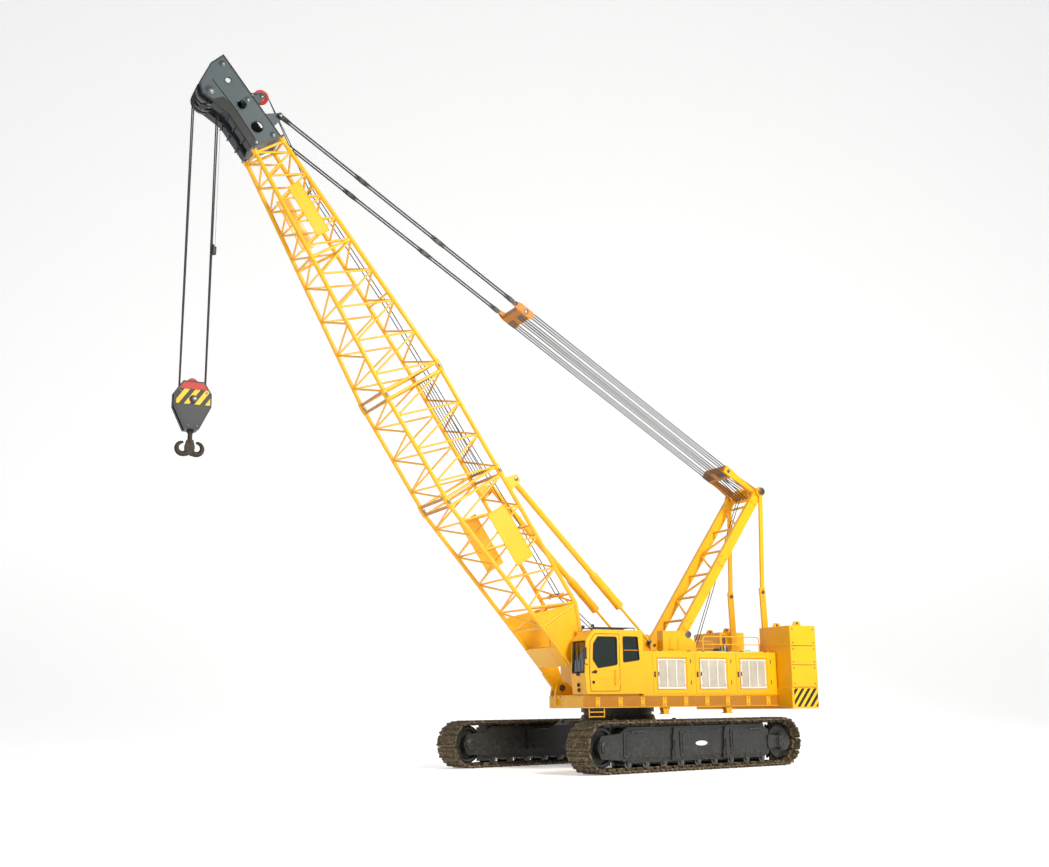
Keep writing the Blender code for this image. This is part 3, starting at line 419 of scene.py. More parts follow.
def surface(name, base, rough=0.4, metal=0.0, coat=0.0, dirt="#8A6A30", dirt_amount=0.25, mottling=0.06,
            grain=0.0, grain_scale=60.0, low=0.0):
    """Painted or bare metal: slow colour drift, dust gathered in patches and low down, fine grain bump."""
    m = bpy.data.materials.new(name)
    m.use_nodes = True
    t = m.node_tree
    b = t.nodes["Principled BSDF"]
    co = node(t, "ShaderNodeTexCoord").outputs["Object"]
    slow = node(t, "ShaderNodeTexNoise", {"Vector": co}, scale=1.3, detail=5.0, roughness=0.6).outputs["Fac"]
    fine = node(t, "ShaderNodeTexNoise", {"Vector": co}, scale=14.0, detail=8.0, roughness=0.7).outputs["Fac"]
    lin = rgb(base)
    dark = tuple(x * (1 - mottling * 2.4) for x in lin[:3]) + (1.0,)
    lite = tuple(min(1.0, x * (1 + mottling)) for x in lin[:3]) + (1.0,)
    body = ramp(t, slow, [(0.30, dark), (0.55, lin), (0.75, lite)])
    patch = ramp(t, fine, [(0.48, (0, 0, 0, 1)), (0.72, (1, 1, 1, 1))])
    z = node(t, "ShaderNodeSeparateXYZ", {"Vector": co}).outputs["Z"]
    height = node(t, "ShaderNodeMapRange", {"Value": z}, from_min=0.0, from_max=max(low, 0.01), to_min=1.0,
                  to_max=0.25 if low else 0.3).outputs["Result"]
    amount = maths(t, "MULTIPLY", maths(t, "MULTIPLY", patch, height), dirt_amount)
    t.links.new(mix(t, amount, body, rgb(dirt)), b.inputs["Base Color"])
    r = node(t, "ShaderNodeMapRange", {"Value": fine}, from_min=0.3, from_max=0.7, to_min=rough * 0.85,
             to_max=min(1.0, rough * 1.25)).outputs["Result"]
    t.links.new(r, b.inputs["Roughness"])
    b.inputs["Metallic"].default_value = metal
    b.inputs["Coat Weight"].default_value = coat
    b.inputs["Coat Roughness"].default_value = 0.12
    if grain:
        g = node(t, "ShaderNodeTexNoise", {"Vector": co}, scale=grain_scale, detail=6.0).outputs["Fac"]
        bump = node(t, "ShaderNodeBump", {"Height": g}, strength=grain, distance=0.004)
        t.links.new(bump.outputs[0], b.inputs["Normal"])
    MATS[name] = m
    return t, b, co


def maths(tree, operation, a, b=None):
    """Result of one arithmetic node; a is a socket, b a socket or a number."""
    is_socket = hasattr(b, "is_linked")
    n = node(tree, "ShaderNodeMath", {0: a, 1: b} if is_socket else {0: a}, operation=operation)
    if b is not None and not is_socket:
        n.inputs[1].default_value = b
    return n.outputs[0]


def striped(name, width, slant, axis):
    """Black and yellow hazard bands: a step of (coordinate + slant * height) / width."""
    t, b, co = surface(name, "#F2BE08", rough=0.38, coat=0.2, dirt_amount=0.12)
    sep = node(t, "ShaderNodeSeparateXYZ", {"Vector": co})
    lean = maths(t, "MULTIPLY", sep.outputs["Z"], slant)
    phase = maths(t, "FRACT", maths(t, "DIVIDE", maths(t, "ADD", sep.outputs[axis], lean), width))
    black = maths(t, "GREATER_THAN", phase, 0.5)
    yellow = b.inputs["Base Color"].links[0].from_socket
    t.links.new(mix(t, black, yellow, rgb("#15150F")), b.inputs["Base Color"])


def wire(name, base):
    """Wire rope: strands as a wave slanted over the rope's length and round its girth."""
    t, b, _ = surface(name, base, rough=0.55, metal=0.4, dirt="#2A2622", dirt_amount=0.45)
    uv = node(t, "ShaderNodeUVMap", uv_map="lay").outputs["UV"]
    sep = node(t, "ShaderNodeSeparateXYZ", {"Vector": uv})
    lay = maths(t, "ADD", maths(t, "MULTIPLY", sep.outputs["X"], LAYS_PER_M), sep.outputs["Y"])
    wave = maths(t, "SINE", maths(t, "MULTIPLY", lay, STRANDS * TAU))
    bump = node(t, "ShaderNodeBump", {"Height": wave}, strength=0.7, distance=0.003)
    t.links.new(bump.outputs[0], b.inputs["Normal"])


def tinted_glass(name):
    """Safety glass in the cab: dark green tint, sharp reflections."""
    m = bpy.data.materials.new(name)
    m.use_nodes = True
    t = m.node_tree
    b = t.nodes["Principled BSDF"]
    b.inputs["Base Color"].default_value = rgb("#1C2C29")
    b.inputs["Roughness"].default_value = 0.04
    b.inputs["IOR"].default_value = 1.5
    b.inputs["Transmission Weight"].default_value = 0.35
    b.inputs["Coat Weight"].default_value = 0.6
    MATS[name] = m


def make_materials(p):
    """Every material, named for the real one and, where it also stands for shade, for the painted shade;
    surface() gives the paints and metals.
    """
    yellow, dust = p.paint, "#7A6A4C"
    surface(YELLOW, yellow, rough=0.38, coat=0.12, dirt_amount=0.16 * p.dust, low=2.0,
            mottling=0.035)
    # amber enamel on the boom cross members and the window bar, and painted shade on the sill band under the
    # house
    surface(AMBER_AND_SHADE, "#B97808", rough=0.38, coat=0.2, dirt_amount=0.2)
    surface(CHARCOAL, "#1B2022", rough=0.5, coat=0.1, dirt=dust,
            dirt_amount=0.55 * p.dust, low=1.0, mottling=0.15, grain=0.15)
    surface(SHOE_STEEL, "#4A4030", rough=0.78, metal=0.2, dirt="#B9A377",
            dirt_amount=0.95 * p.dust, low=2.6, mottling=0.2, grain=0.5, grain_scale=38.0)
    surface(SLATE, "#47555A", rough=0.42, coat=0.15, dirt_amount=0.2)
    surface(GRAPHITE, "#2B3236", rough=0.45, coat=0.1, dirt_amount=0.3)
    # black enamel on brackets, and painted shade in the counterweight seams and under the boom head
    surface(BLACK_AND_SHADE, "#191C1E", rough=0.45, coat=0.1, dirt_amount=0.15)
    surface(RED, "#B3261A", rough=0.42, coat=0.15, dirt_amount=0.25)
    surface(PALE, "#E8E2D5", rough=0.42, coat=0.1, dirt_amount=0.2)
    surface(SHADED, "#8E8878", rough=0.6, dirt_amount=0.2)
    surface(OCHRE, "#B8740A", rough=0.5, dirt_amount=0.3)
    surface(PIN_STEEL, "#6A6C6C", rough=0.34, metal=0.85, dirt="#2A2622",
            dirt_amount=0.4)
    surface(RUBBER, "#111213", rough=0.65, dirt_amount=0.12, grain=0.2)
    surface(CLOTH, "#24272B", rough=0.9, dirt_amount=0.05, grain=0.6, grain_scale=240.0)
    surface(IRON, "#3A352D", rough=0.55, metal=0.5, dirt="#6B4A2C", dirt_amount=0.5, grain=0.3)
    surface(WHITE, "#E9E9E4", rough=0.4, dirt_amount=0.08)
    surface(RED_LENS, "#C21408", rough=0.15, coat=0.6, dirt_amount=0.0)
    surface(CLEAR_LENS, "#DDE4E6", rough=0.1, coat=0.8, dirt_amount=0.0)
    striped(TAIL_BANDS, 0.20, 0.80, "X")
    striped(BLOCK_BANDS, 0.24, 0.70, "X")
    wire(ROPE, "#47464B")
    tinted_glass(GLASS)


# ------------------------------------------------------------------ undercarriage


def racetrack(u, r):
    """Point and unit tangent at length u along the belt line of radius r round the two wheels."""
    straight, bend = 2 * WHEEL_X, math.pi * r
    u = u % (2 * straight + 2 * bend)
    if u < straight:
        return (-WHEEL_X + u, TR - r), (1, 0)
    u -= straight
    if u < bend:
        t = -math.pi / 2 + u / r
        return (WHEEL_X + r * math.cos(t), TR + r * math.sin(t)), (-math.sin(t), math.cos(t))
    u -= bend
    if u < straight:
        return (WHEEL_X - u, TR + r), (-1, 0)
    t = math.pi / 2 + (u - straight) / r
    return (-WHEEL_X + r * math.cos(t), TR + r * math.sin(t)), (-math.sin(t), math.cos(t))


def build_tracks(p):
    """Shoes are one section (plate, two grousers, link pads) placed along the racetrack."""
    n = p.shoes
    for side, tag in ((1, "left"), (-1, "right")):
        yc = side * GAUGE / 2
        s = Solid("under")
        r = LOOP_IN + 0.030
        total = 4 * WHEEL_X + TAU * r
        pitch = total / n
        L, h = pitch * 0.97, SHOE_W / 2            # a gap is left between neighbouring shoes
        sec = [(-0.50, -0.004), (-0.50, 0.018), (-0.44, 0.026), (-0.40, 0.064), (-0.34, 0.065),
               (-0.30, 0.030),
               (0.06, 0.026), (0.10, 0.060), (0.16, 0.060), (0.20, 0.026), (0.46, 0.022), (0.52, 0.010),
               (0.52, -0.008)]
        for k in range(n):
            (x, z), (tx, tz) = racetrack((k + 0.5) * pitch, r)
            nx, nz = tz, -tx            # outward

            def on_shoe(a, b):
                return x + a * L * tx + b * nx, z + a * L * tz + b * nz
            out = [on_shoe(a, b) for a, b in sec]
            # side chamfers: the plate's corners are drawn in at both ends
            rings = []
            for yy, sh in ((-h, 0.86), (-h + 0.05, 1.0), (h - 0.05, 1.0), (h, 0.86)):
                rings.append([(x + (ox - x) * sh, yc + yy, z + (oz - z) * sh) for ox, oz in out])
            s.grid(np.array(rings), wrap_v=True, caps=True)
            for yy in (-0.17, 0.17):
                pad = [(-0.42, -0.052), (-0.42, 0.0), (0.42, 0.0), (0.42, -0.052), (0.25, -0.064),
                       (-0.25, -0.064)]
                s.prism([on_shoe(a, b) for a, b in pad], yc + yy - 0.035, yc + yy + 0.035)
            px, pz = on_shoe(0.5, -0.03)
            s.turned((px, yc - 0.27, pz), (0, 1, 0), [(0.021, 0), (0.021, 0.54)], 8)
            for yy in (-0.30, 0.30):
                for a in (-0.22, 0.33):
                    bx, bz = on_shoe(a, 0.024)
                    s.turned((bx, yc + yy, bz), (nx, 0, nz), [(0.015, 0), (0.015, 0.012)], 6)
        s.make(f"{tag}_track_shoes", [SHOE_STEEL], "undercarriage", stands_for=f"{tag}_track", angle=30)


def build_side_frames(p):
    """Box beam with flanges, raised covers, stepped brackets, rollers, idler and sprocket."""
    wx = WHEEL_X - 0.50
    for side, tag in ((1, "left"), (-1, "right")):
        yc = side * GAUGE / 2
        f = FRAME_W / 2
        s = Solid("under")
        body = fillet([(-wx, 0.34), (-wx + 0.12, 0.26), (wx - 0.12, 0.26), (wx, 0.34), (wx, 0.88),
                       (wx - 0.20, 1.01), (-wx + 0.20, 1.01), (-wx, 0.88)], 0.05)
        s.prism(body, yc - f + 0.03, yc + f - 0.03)
        s.box((-wx + 0.10, yc - 0.17, 1.02), (wx - 0.10, yc + 0.17, 1.075))
        for e in (-1, 1):                                  # guards between the beam's ends and the wheels
            s.box((e * (wx - 0.1), yc - side * 0.208 - 0.007, 0.17),
                  (e * (wx + 0.24), yc - side * 0.208 + 0.007, 1.02))
        for z0, z1 in ((0.235, 0.268), (0.998, 1.028)):         # flanges
            s.box((-wx + 0.20, yc - f, z0), (wx - 0.20, yc + f, z1))
        yo = yc + side * (f - 0.03)

        def out(poly, t, mat=0):
            s.prism(poly, yo - side * 0.01, yo + side * t, mat)
        panels = ((-2.30, -1.12), (-0.78, 0.62), (0.98, 2.44))
        for a, b in panels:
            out(fillet(rect(a, 0.34, b, 0.93), 0.06, 4), 0.022)
            out(fillet(rect(a + 0.07, 0.40, b - 0.07, 0.87), 0.05, 4), 0.034)
            for x in np.linspace(a + 0.05, b - 0.05, 7):
                for z in (0.37, 0.90):
                    s.bolt((x, yo + side * 0.022, z), (0, side, 0), 0.013, 0.012, 1)
        for c in (-0.95, 0.80):
            out([(c - 0.13, 0.26), (c + 0.13, 0.26), (c + 0.13, 0.46), (c + 0.09, 0.52), (c + 0.09, 0.80),
                 (c + 0.04, 1.00), (c - 0.09, 1.00), (c - 0.09, 0.52), (c - 0.13, 0.46)], 0.055)
            out(rect(c - 0.05, 0.30, c + 0.05, 0.70), 0.075)
        blank = [(-0.08 + 0.20 * a, 0.62 + 0.055 * b) for a, b in zip(*circle(32))]      # oval plate
        out(blank, 0.040, 2)
        # rollers with rims
        for k in range(p.rollers):
            x = -wx + 0.26 + k * (2 * wx - 0.52) / (p.rollers - 1)
            rr = 0.105
            z = TR - LOOP_IN + rr
            prof = [(0.03, -0.27), (0.055, -0.27), (0.055, -0.235), (rr, -0.23), (rr, -0.13),
                    (rr - 0.025, -0.12),
                    (rr - 0.025, 0.12), (rr, 0.13), (rr, 0.23), (0.055, 0.235), (0.055, 0.27), (0.03, 0.27)]
            s.turned((x, yc, z), (0, 1, 0), prof, 28, 1)
            for e in (-1, 1):
                s.bolt((x, yc + e * 0.27, z), (0, e, 0), 0.022, 0.018, 1)
                s.box((x - 0.06, yc + e * 0.235, 0.19), (x + 0.06, yc + e * 0.262, 0.30))
        for x in (-1.3, 0.1, 1.45):
            z = TR + LOOP_IN - 0.058
            s.turned((x, yc, z), (0, 1, 0), [(0.03, -0.19), (0.055, -0.18), (0.055, -0.08), (0.035, -0.07),
                                            (0.035, 0.07), (0.055, 0.08), (0.055, 0.18), (0.03, 0.19)], 24, 1)
            s.box((x - 0.045, yc - 0.06, 0.99), (x + 0.045, yc + 0.06, z))
        # wheel forks
        for sx in (-1, 1):
            d, e = (0.30, 0.15) if sx > 0 else (0.17, 0.10)
            fork = fillet([(sx * (wx - 0.06), TR - d), (sx * (WHEEL_X + 0.10), TR - d + 0.05),
                           (sx * (WHEEL_X + e + 0.05), TR), (sx * (WHEEL_X + 0.10), TR + d - 0.05),
                           (sx * (wx - 0.06), TR + d)], 0.06)
            for y0, y1 in ((yc - f, yc - f + 0.09), (yc + f - 0.09, yc + f)):
                s.prism(fork, y0, y1)
        # step plates and a grab bar on the outer side
        for x in (-2.0, 2.0):
            s.tube([(x - 0.22, yo, 0.90), (x - 0.22, yo + side * 0.06, 0.93),
                    (x + 0.22, yo + side * 0.06, 0.93), (x + 0.22, yo, 0.90)], 0.012, 8, 1)
        s.make(f"{tag}_side_frame", [CHARCOAL, PIN_STEEL, WHITE], "undercarriage", bevel=0.005,
               stands_for=f"{tag}_track_frame")
        # sprocket with teeth, geared hub and bolts; idler with a rim
        s = Solid("under")
        for sx in (-1, 1):
            c = (sx * WHEEL_X, yc, TR)
            rim = LOOP_IN - 0.012
            if sx < 0:
                teeth = []
                for k in range(22):
                    for f0, rr in ((0.0, rim - 0.075), (0.28, rim - 0.070), (0.42, rim), (0.58, rim),
                                   (0.72, rim - 0.070)):
                        a = TAU * (k + f0) / 22
                        teeth.append((c[0] + rr * math.cos(a), c[2] + rr * math.sin(a)))
                for y0 in (-0.075, 0.020):
                    s.prism(teeth, yc + y0, yc + y0 + 0.055)
                web = [(rim - 0.10, -0.13), (rim - 0.09, 0.13), (0.20, 0.15), (0.20, -0.15)]
                s.turned(c, (0, 1, 0), web, 40, ring=True)
            else:
                s.turned(c, (0, 1, 0), [(rim - 0.06, -0.16), (rim - 0.05, -0.12), (rim - 0.005, -0.11),
                                        (rim - 0.005, 0.11), (rim - 0.05, 0.12), (rim - 0.06, 0.16),
                                        (rim - 0.11, 0.155), (rim - 0.13, 0.09), (0.18, 0.08), (0.15, 0.17),
                                        (0.05, 0.17), (0.05, -0.17), (0.15, -0.17), (0.18, -0.08),
                                        (rim - 0.13, -0.09), (rim - 0.11, -0.155)], 44, ring=True)
            hub = 0.205 if sx < 0 else 0.13
            for e in (-1, 1):
                y0 = FRAME_W / 2
                s.turned((c[0], yc, TR), (0, e, 0), [(hub + 0.03, y0 - 0.01), (hub + 0.03, y0 + 0.015),
                                                    (hub, y0 + 0.022), (hub, y0 + 0.055),
                                                     (hub - 0.03, y0 + 0.07),
                                                    (hub * 0.55, y0 + 0.075), (hub * 0.5, y0 + 0.09),
                                                     (0.02, y0 + 0.092)],
                         36, 1 if sx > 0 else 0)
                s.bolt_ring((c[0], yc + e * (y0 + 0.018), TR), (0, e, 0), hub + 0.012, 12, 0.012, 0.012, 2)
        s.make(f"{tag}_drive_and_idler", [CHARCOAL, CHARCOAL, PIN_STEEL], "undercarriage", bevel=0.003,
               stands_for=(f"{tag}_sprocket", f"{tag}_idler"))


def build_carbody():
    """Ring bolts, axle gussets, rotary seat, hoses and the four jack pads round the carbody."""
    s = Solid("under")
    s.bolt_ring((0, 0, 1.268), (0, 0, 1), 0.915, 40, 0.016, 0.03, 1)
    for sx in (-1, 1):
        for sy in (-1, 1):
            for dx in (-0.20, 0.20):
                x = sx * 0.88 + dx
                q = [(1.10, 0.95), (1.55, 0.95), (1.10, 1.12)]
                y0 = [(x - 0.014, sy * a, b) for a, b in q]
                y1 = [(x + 0.014, sy * a, b) for a, b in q]
                s.grid(np.array([y0, y1]), wrap_v=True, caps=True)
            for z in (0.53, 0.88):
                for dx in (-0.2, 0, 0.2):
                    s.bolt((sx * 0.88 + dx, sy * 2.27, z), (0, -sy, 0), 0.02, 0.02, 1)
            s.box((sx * 0.88 - 0.30, sy * 2.20, 0.42), (sx * 0.88 + 0.30, sy * 2.287, 1.0))
            s.turned((sx * 1.02, sy * 1.02, 1.14), (0, 0, 1), [(0.05, 0), (0.05, 0.05), (0.035, 0.06)], 16, 1)
        for y in (-0.5, 0.5):
            s.disc((sx * 1.15, y, 0.8), (sx, 0, 0), 0.09, 0.02)
            s.bolt_ring((sx * 1.168, y, 0.8), (sx, 0, 0), 0.065, 6, 0.009, 0.01, 1)
    s.make("carbody_fittings", [CHARCOAL, PIN_STEEL], "undercarriage", bevel=0.004)
    s = Solid("under")
    for sy in (-1, 1):
        for k in range(3):
            z = 0.70 + 0.05 * k
            s.tube([(-0.45, sy * 1.12, z + 0.25), (-0.50, sy * 1.25, z + 0.1), (-0.56, sy * 1.6, z - 0.05),
                    (-0.60, sy * 2.0, z - 0.04), (-0.62, sy * 2.28, z)], 0.017, 10)
    s.make("travel_hoses", [RUBBER], "undercarriage")


# ------------------------------------------------------------------ platform, houses, counterweight
def soft_path(pts, r=0.08, n=5):
    """A polyline in space with its corners rounded."""
    pts = [np.array(q, float) for q in pts]
    out = [pts[0]]
    for a, b, c in zip(pts[:-2], pts[1:-1], pts[2:]):
        d = min(r, np.linalg.norm(a - b) / 2.2, np.linalg.norm(c - b) / 2.2)
        p, q = b + (a - b) / np.linalg.norm(a - b) * d, b + (c - b) / np.linalg.norm(c - b) * d
        for k in range(n + 1):
            t = k / n
            out.append((1 - t) ** 2 * p + 2 * t * (1 - t) * b + t * t * q)
    return np.array(out + [pts[-1]])


def build_grilles(p):
    """Louvred panels: a frame and slats, each slat an S section carried along the panel."""
    spans = {"left_grille_1": (-1.09, -0.24), "left_grille_2": (-2.33, -1.51),
             "left_grille_3": (-3.59, -2.76), "right_louvre": (-3.59, -0.24)}
    for name, (a, b) in spans.items():
        side = 1 if name.startswith("left") else -1
        s = Solid()
        y = side * (HOUSE_Y - 0.048)
        yo = side * (HOUSE_Y + 0.004)
        a, b, z0, z1 = a + 0.014, b - 0.014, 1.914, 2.656
        s.box((a, y, z0), (b, y + side * 0.006, z1), 3)
        w = 0.035
        for q in framing(a, z0, b, z1, w, w, w):
            s.prism(q, y + side * 0.002, yo, 0)
        cols = 3 if b - a < 1.2 else 9
        for c in range(1, cols):
            x = a + (b - a) * c / cols
            s.prism(rect(x - 0.016, z0 + w, x + 0.016, z1 - w), y + side * 0.004, yo, 0)
        n = p.slats
        for c in range(cols):
            xa, xb = a + (b - a) * c / cols + 0.02, a + (b - a) * (c + 1) / cols - 0.02
            for k in range(n):
                z = z0 + w + (z1 - z0 - 2 * w) * (k + 0.5) / n
                pr = [(0.008, 0.013), (0.030, 0.003), (0.044, -0.010), (0.046, -0.014), (0.040, -0.014),
                      (0.027, 0.000), (0.006, 0.009)]
                q = [[(x, y + side * dy, z + dz) for dy, dz in pr] for x in (xa, xb)]
                s.grid(np.array(q), wrap_v=True, caps=True)
        for z in (z0 + 0.09, z1 - 0.09):
            s.bolt((a + w / 2, yo, z), (0, side, 0), 0.010, 0.010, 2)
            s.bolt((b - w / 2, yo, z), (0, side, 0), 0.010, 0.010, 2)
        zc = (z0 + z1) / 2
        s.box((b - 0.03, yo, zc - 0.05), (b - 0.008, yo + side * 0.018, zc + 0.05), 1)
        s.make(name + "_slats", [PALE, BLACK_AND_SHADE, PIN_STEEL, SHADED], "superstructure", stands_for=name, angle=30)


def build_house_fittings():
    """Door seams as thin raised frames, handles, hinges, lids on the roof, rails, steps and lamps."""
    s = Solid()
    for side in (1, -1):
        yo = side * HOUSE_Y

        def out(poly, t, mat=0):
            s.prism(poly, yo - side * 0.002, yo + side * t, mat)
        for a, b in HOUSE_DOORS:
            for q in framing(a, 1.80, b, 2.79, 0.08, 0.10, 0.10):
                out(q, 0.012)
            for z in (2.02, 2.55):
                s.turned((a - 0.012, yo + side * 0.012, z), (0, 0, 1), [(0.014, 0), (0.014, 0.10)], 12, 1)
            out(fillet(rect(b - 0.075, 2.20, b - 0.025, 2.34), 0.015), 0.020, 2)
            s.box((b - 0.062, yo + side * 0.016, 2.225), (b - 0.038, yo + side * 0.036, 2.315), 1)
        # sill band with lifting eyes and pads; the band is amber, painted shade under the overhanging house
        front = 1.90 if side > 0 else RIGHT_X1 + 0.14
        s.box((-3.93, yo, 1.484), (front, yo + side * 0.006, 1.736), 3)
        for x in np.linspace(-3.6, front - 0.4, 9):
            s.box((x - 0.06, yo, 1.50), (x + 0.06, yo + side * 0.020, 1.72), 0)
            for dz in (-0.07, 0.07):
                s.bolt((x, yo + side * 0.020, 1.61 + dz), (0, side, 0), 0.012, 0.01, 1)
        s.box((-3.93, yo - side * 0.02, 1.468), (front, yo + side * 0.02, 1.486), 0)
        s.box((-3.93, yo - side * 0.02, 1.738), (0.20, yo + side * 0.018, 1.752), 0)
        # roof: lids, anti-slip strips, edge moulding
        y0, y1 = side * (HOUSE_IN + 0.06), side * (HOUSE_Y - 0.06)
        for a, b in ROOF_LIDS:
            s.box((a, y0, HOUSE_TOP - 0.004), (b, y1, HOUSE_TOP + 0.022), 0)
            for x in (a + 0.12, b - 0.12):
                s.turned((x - 0.05, side * (HOUSE_Y - 0.055), HOUSE_TOP + 0.018), (1, 0, 0),
                         [(0.012, 0), (0.012, 0.10)], 12, 1)
            s.tube(soft_path([(a + 0.42, side * 1.3, HOUSE_TOP + 0.02),
                              (a + 0.42, side * 1.3, HOUSE_TOP + 0.065),
                              (a + 0.58, side * 1.3, HOUSE_TOP + 0.065),
                              (a + 0.58, side * 1.3, HOUSE_TOP + 0.02)], 0.02),
                   0.007, 8, 1)
    # exhaust stack and air cleaner behind the left gantry foot, on the engine cover
    s.turned((-3.10, 0.45, 2.61), (0, 0, 1), [(0.11, 0), (0.11, 0.40), (0.085, 0.46), (0.055, 0.48), (0.055,
                                                                                                      0.72),
                                             (0.048, 0.72), (0.048, 0.5)], 28, 1)
    s.turned((-3.45, -0.35, 2.61), (0, 0, 1),
             [(0.14, 0), (0.14, 0.26), (0.16, 0.28), (0.16, 0.36), (0.10, 0.41)], 32, 2)
    for x, y in ((-2.75, 0.6), (-2.75, -0.6), (-3.6, 0.6), (-3.6, -0.6)):
        s.bolt((x, y, 2.62), (0, 0, 1), 0.02, 0.02, 1)
    for x in (-0.48, -2.38):                               # jacking brackets below the left deck
        s.prism([(x - 0.11, 1.475), (x + 0.11, 1.475), (x + 0.07, 1.32), (x - 0.07, 1.32)], 1.42, 1.58, 0)
        s.box((x - 0.10, 1.40, 1.30), (x + 0.10, 1.60, 1.325), 0)
    # platform nose: tow eyes and bolts
    for y in (-0.5, 0.5):
        s.prism(fillet([(NOSE_X - 0.02, 1.53), (NOSE_X + 0.06, 1.56), (NOSE_X + 0.06, 1.70),
                        (NOSE_X - 0.02, 1.73)], 0.02),
                y - 0.015, y + 0.015, 0)
    for k in range(8):
        s.bolt((NOSE_X, -0.8 + 0.229 * k, 1.755), (1, 0, 0), 0.014, 0.012, 1)
    s.make("house_fittings", [YELLOW, PIN_STEEL, BLACK_AND_SHADE, AMBER_AND_SHADE], "superstructure", bevel=0.004, angle=32)
    # rails and ladders
    s = Solid()
    for side in (1, -1):
        y = side * (HOUSE_IN + 0.07)
        pts = soft_path([(-3.80, y, HOUSE_TOP), (-3.80, y, HOUSE_TOP + 0.42), (-2.0, y, HOUSE_TOP + 0.42),
                         (-2.0, y, HOUSE_TOP)], 0.10)
        s.tube(pts, 0.015, 10)
        s.bar((-3.80, y, HOUSE_TOP + 0.22), (-2.0, y, HOUSE_TOP + 0.22), 0.012, 8)
        for x in (-3.2, -2.6):
            s.bar((x, y, HOUSE_TOP), (x, y, HOUSE_TOP + 0.42), 0.012, 8)
    for x in (1.30, 1.72):                                 # steps below the left door
        s.tube(soft_path([(x, 1.57, 1.50), (x, 1.57, 1.24)], 0.03), 0.014, 8)
    for z in (1.26, 1.37):
        s.bar((1.30, 1.57, z), (1.72, 1.57, z), 0.014, 8)
    y = -(HOUSE_Y + 0.045)
    for x in (0.30, 0.70):
        s.bar((x, y, 1.50), (x, y, HOUSE_TOP + 0.03), 0.014, 8)
        for z in (1.6, 2.75):
            s.bar((x, y, z), (x, -HOUSE_Y + 0.01, z), 0.012, 8)
    for z in np.arange(1.60, 2.80, 0.25):
        s.bar((0.30, y, z), (0.70, y, z), 0.011, 8)
    s.make("deck_rails", [YELLOW], "superstructure")


def build_counterweight():
    """Hazard-band plates, lifting lugs, tie bars, cover seams drawn as black strips of painted shadow, and
    tail lamps on the stacks.
    """
    s = Solid()
    for side in (1, -1):
        yo = side * CW_OUT
        y0, y1 = yo - side * 0.001, yo + side * 0.006
        s.prism(fillet(rect(CW_X0 + 0.03, 1.44, CW_X1 - 0.04, 1.90), 0.02), y0, y1, 0)
    s.make("hazard_plates", [TAIL_BANDS], "superstructure")
    s = Solid()
    for side in (1, -1):
        yc = side * (CW_IN + CW_OUT) / 2
        yo = side * CW_OUT
        for dy in (-0.42, 0.42):
            lug = fillet([(-4.50, CW_TOP - 0.01), (-4.22, CW_TOP - 0.01), (-4.28, CW_TOP + 0.13),
                          (-4.44, CW_TOP + 0.13)], 0.03)
            s.prism(lug, yc + dy - 0.018, yc + dy + 0.018, 0)
            s.disc((-4.36, yc + dy - 0.028, CW_TOP + 0.075), (0, 1, 0), 0.035, 0.056, mat=1)
        for z in (1.935, 2.50, 2.99):                      # shadow gaps between the slabs
            s.box((CW_X0 + 0.02, yo, z - 0.006), (CW_X1 - 0.02, yo + side * 0.003, z + 0.006), 4)
            s.box((CW_X0 - 0.003, side * (CW_IN + 0.02), z - 0.006),
                  (CW_X0, side * (CW_OUT - 0.02), z + 0.006), 4)
        for z in (2.02, 2.42, 2.58, 2.91, 3.07, 3.42):
            for x in (CW_X0 + 0.08, CW_X1 - 0.08):
                s.bolt((x, yo, z), (0, side, 0), 0.016, 0.014, 1)
        for z, lens in ((1.52, 2), (1.62, 3)):
            s.disc((CW_X0 - 0.001, side * 1.9, z), (-1, 0, 0), 0.04, 0.025, mat=lens)
        s.box((CW_X0 - 0.006, side * 1.0, 2.05), (CW_X0 + 0.002, side * 2.1, 2.40), 0)
    s.make("counterweight_fittings", [YELLOW, PIN_STEEL, RED_LENS, CLEAR_LENS, BLACK_AND_SHADE], "superstructure")


# ------------------------------------------------------------------ cab
DOOR = [(0.90, 1.86), (1.74, 1.86), (1.77, 2.30), (1.74, 3.06), (1.60, 3.25), (0.90, 3.25)]
DOOR_GLASS = [(0.98, 2.50), (1.52, 2.42), (1.66, 2.62), (1.64, 3.00), (1.52, 3.17), (0.98, 3.17)]
REAR_GLASS = [(0.34, 2.62), (0.80, 2.56), (0.80, 3.18), (0.38, 3.18)]


def inset(pts, d):
    """The outline moved inwards by d along its edges' normals."""
    out = []
    n = len(pts)
    for i in range(n):
        p, q, r = (np.array(pts[j % n], float) for j in (i - 1, i, i + 1))
        e1, e2 = (q - p) / np.linalg.norm(q - p), (r - q) / np.linalg.norm(r - q)
        n1, n2 = np.array((-e1[1], e1[0])), np.array((-e2[1], e2[0]))
        out.append(tuple(q + (n1 + n2) / (1 + n1 @ n2) * d))
    return out


def band(s, poly, w, y0, y1, mat=0):
    """A closed strip of width w inside an outline, from y0 to y1."""
    a, b = inset(poly, 0.0), inset(poly, w)
    rings = [[(x, y, z) for x, z in q] for q, y in ((a, y0), (a, y1), (b, y1), (b, y0))]
    s.grid(np.array(rings), wrap_u=True, wrap_v=True, mat=mat)


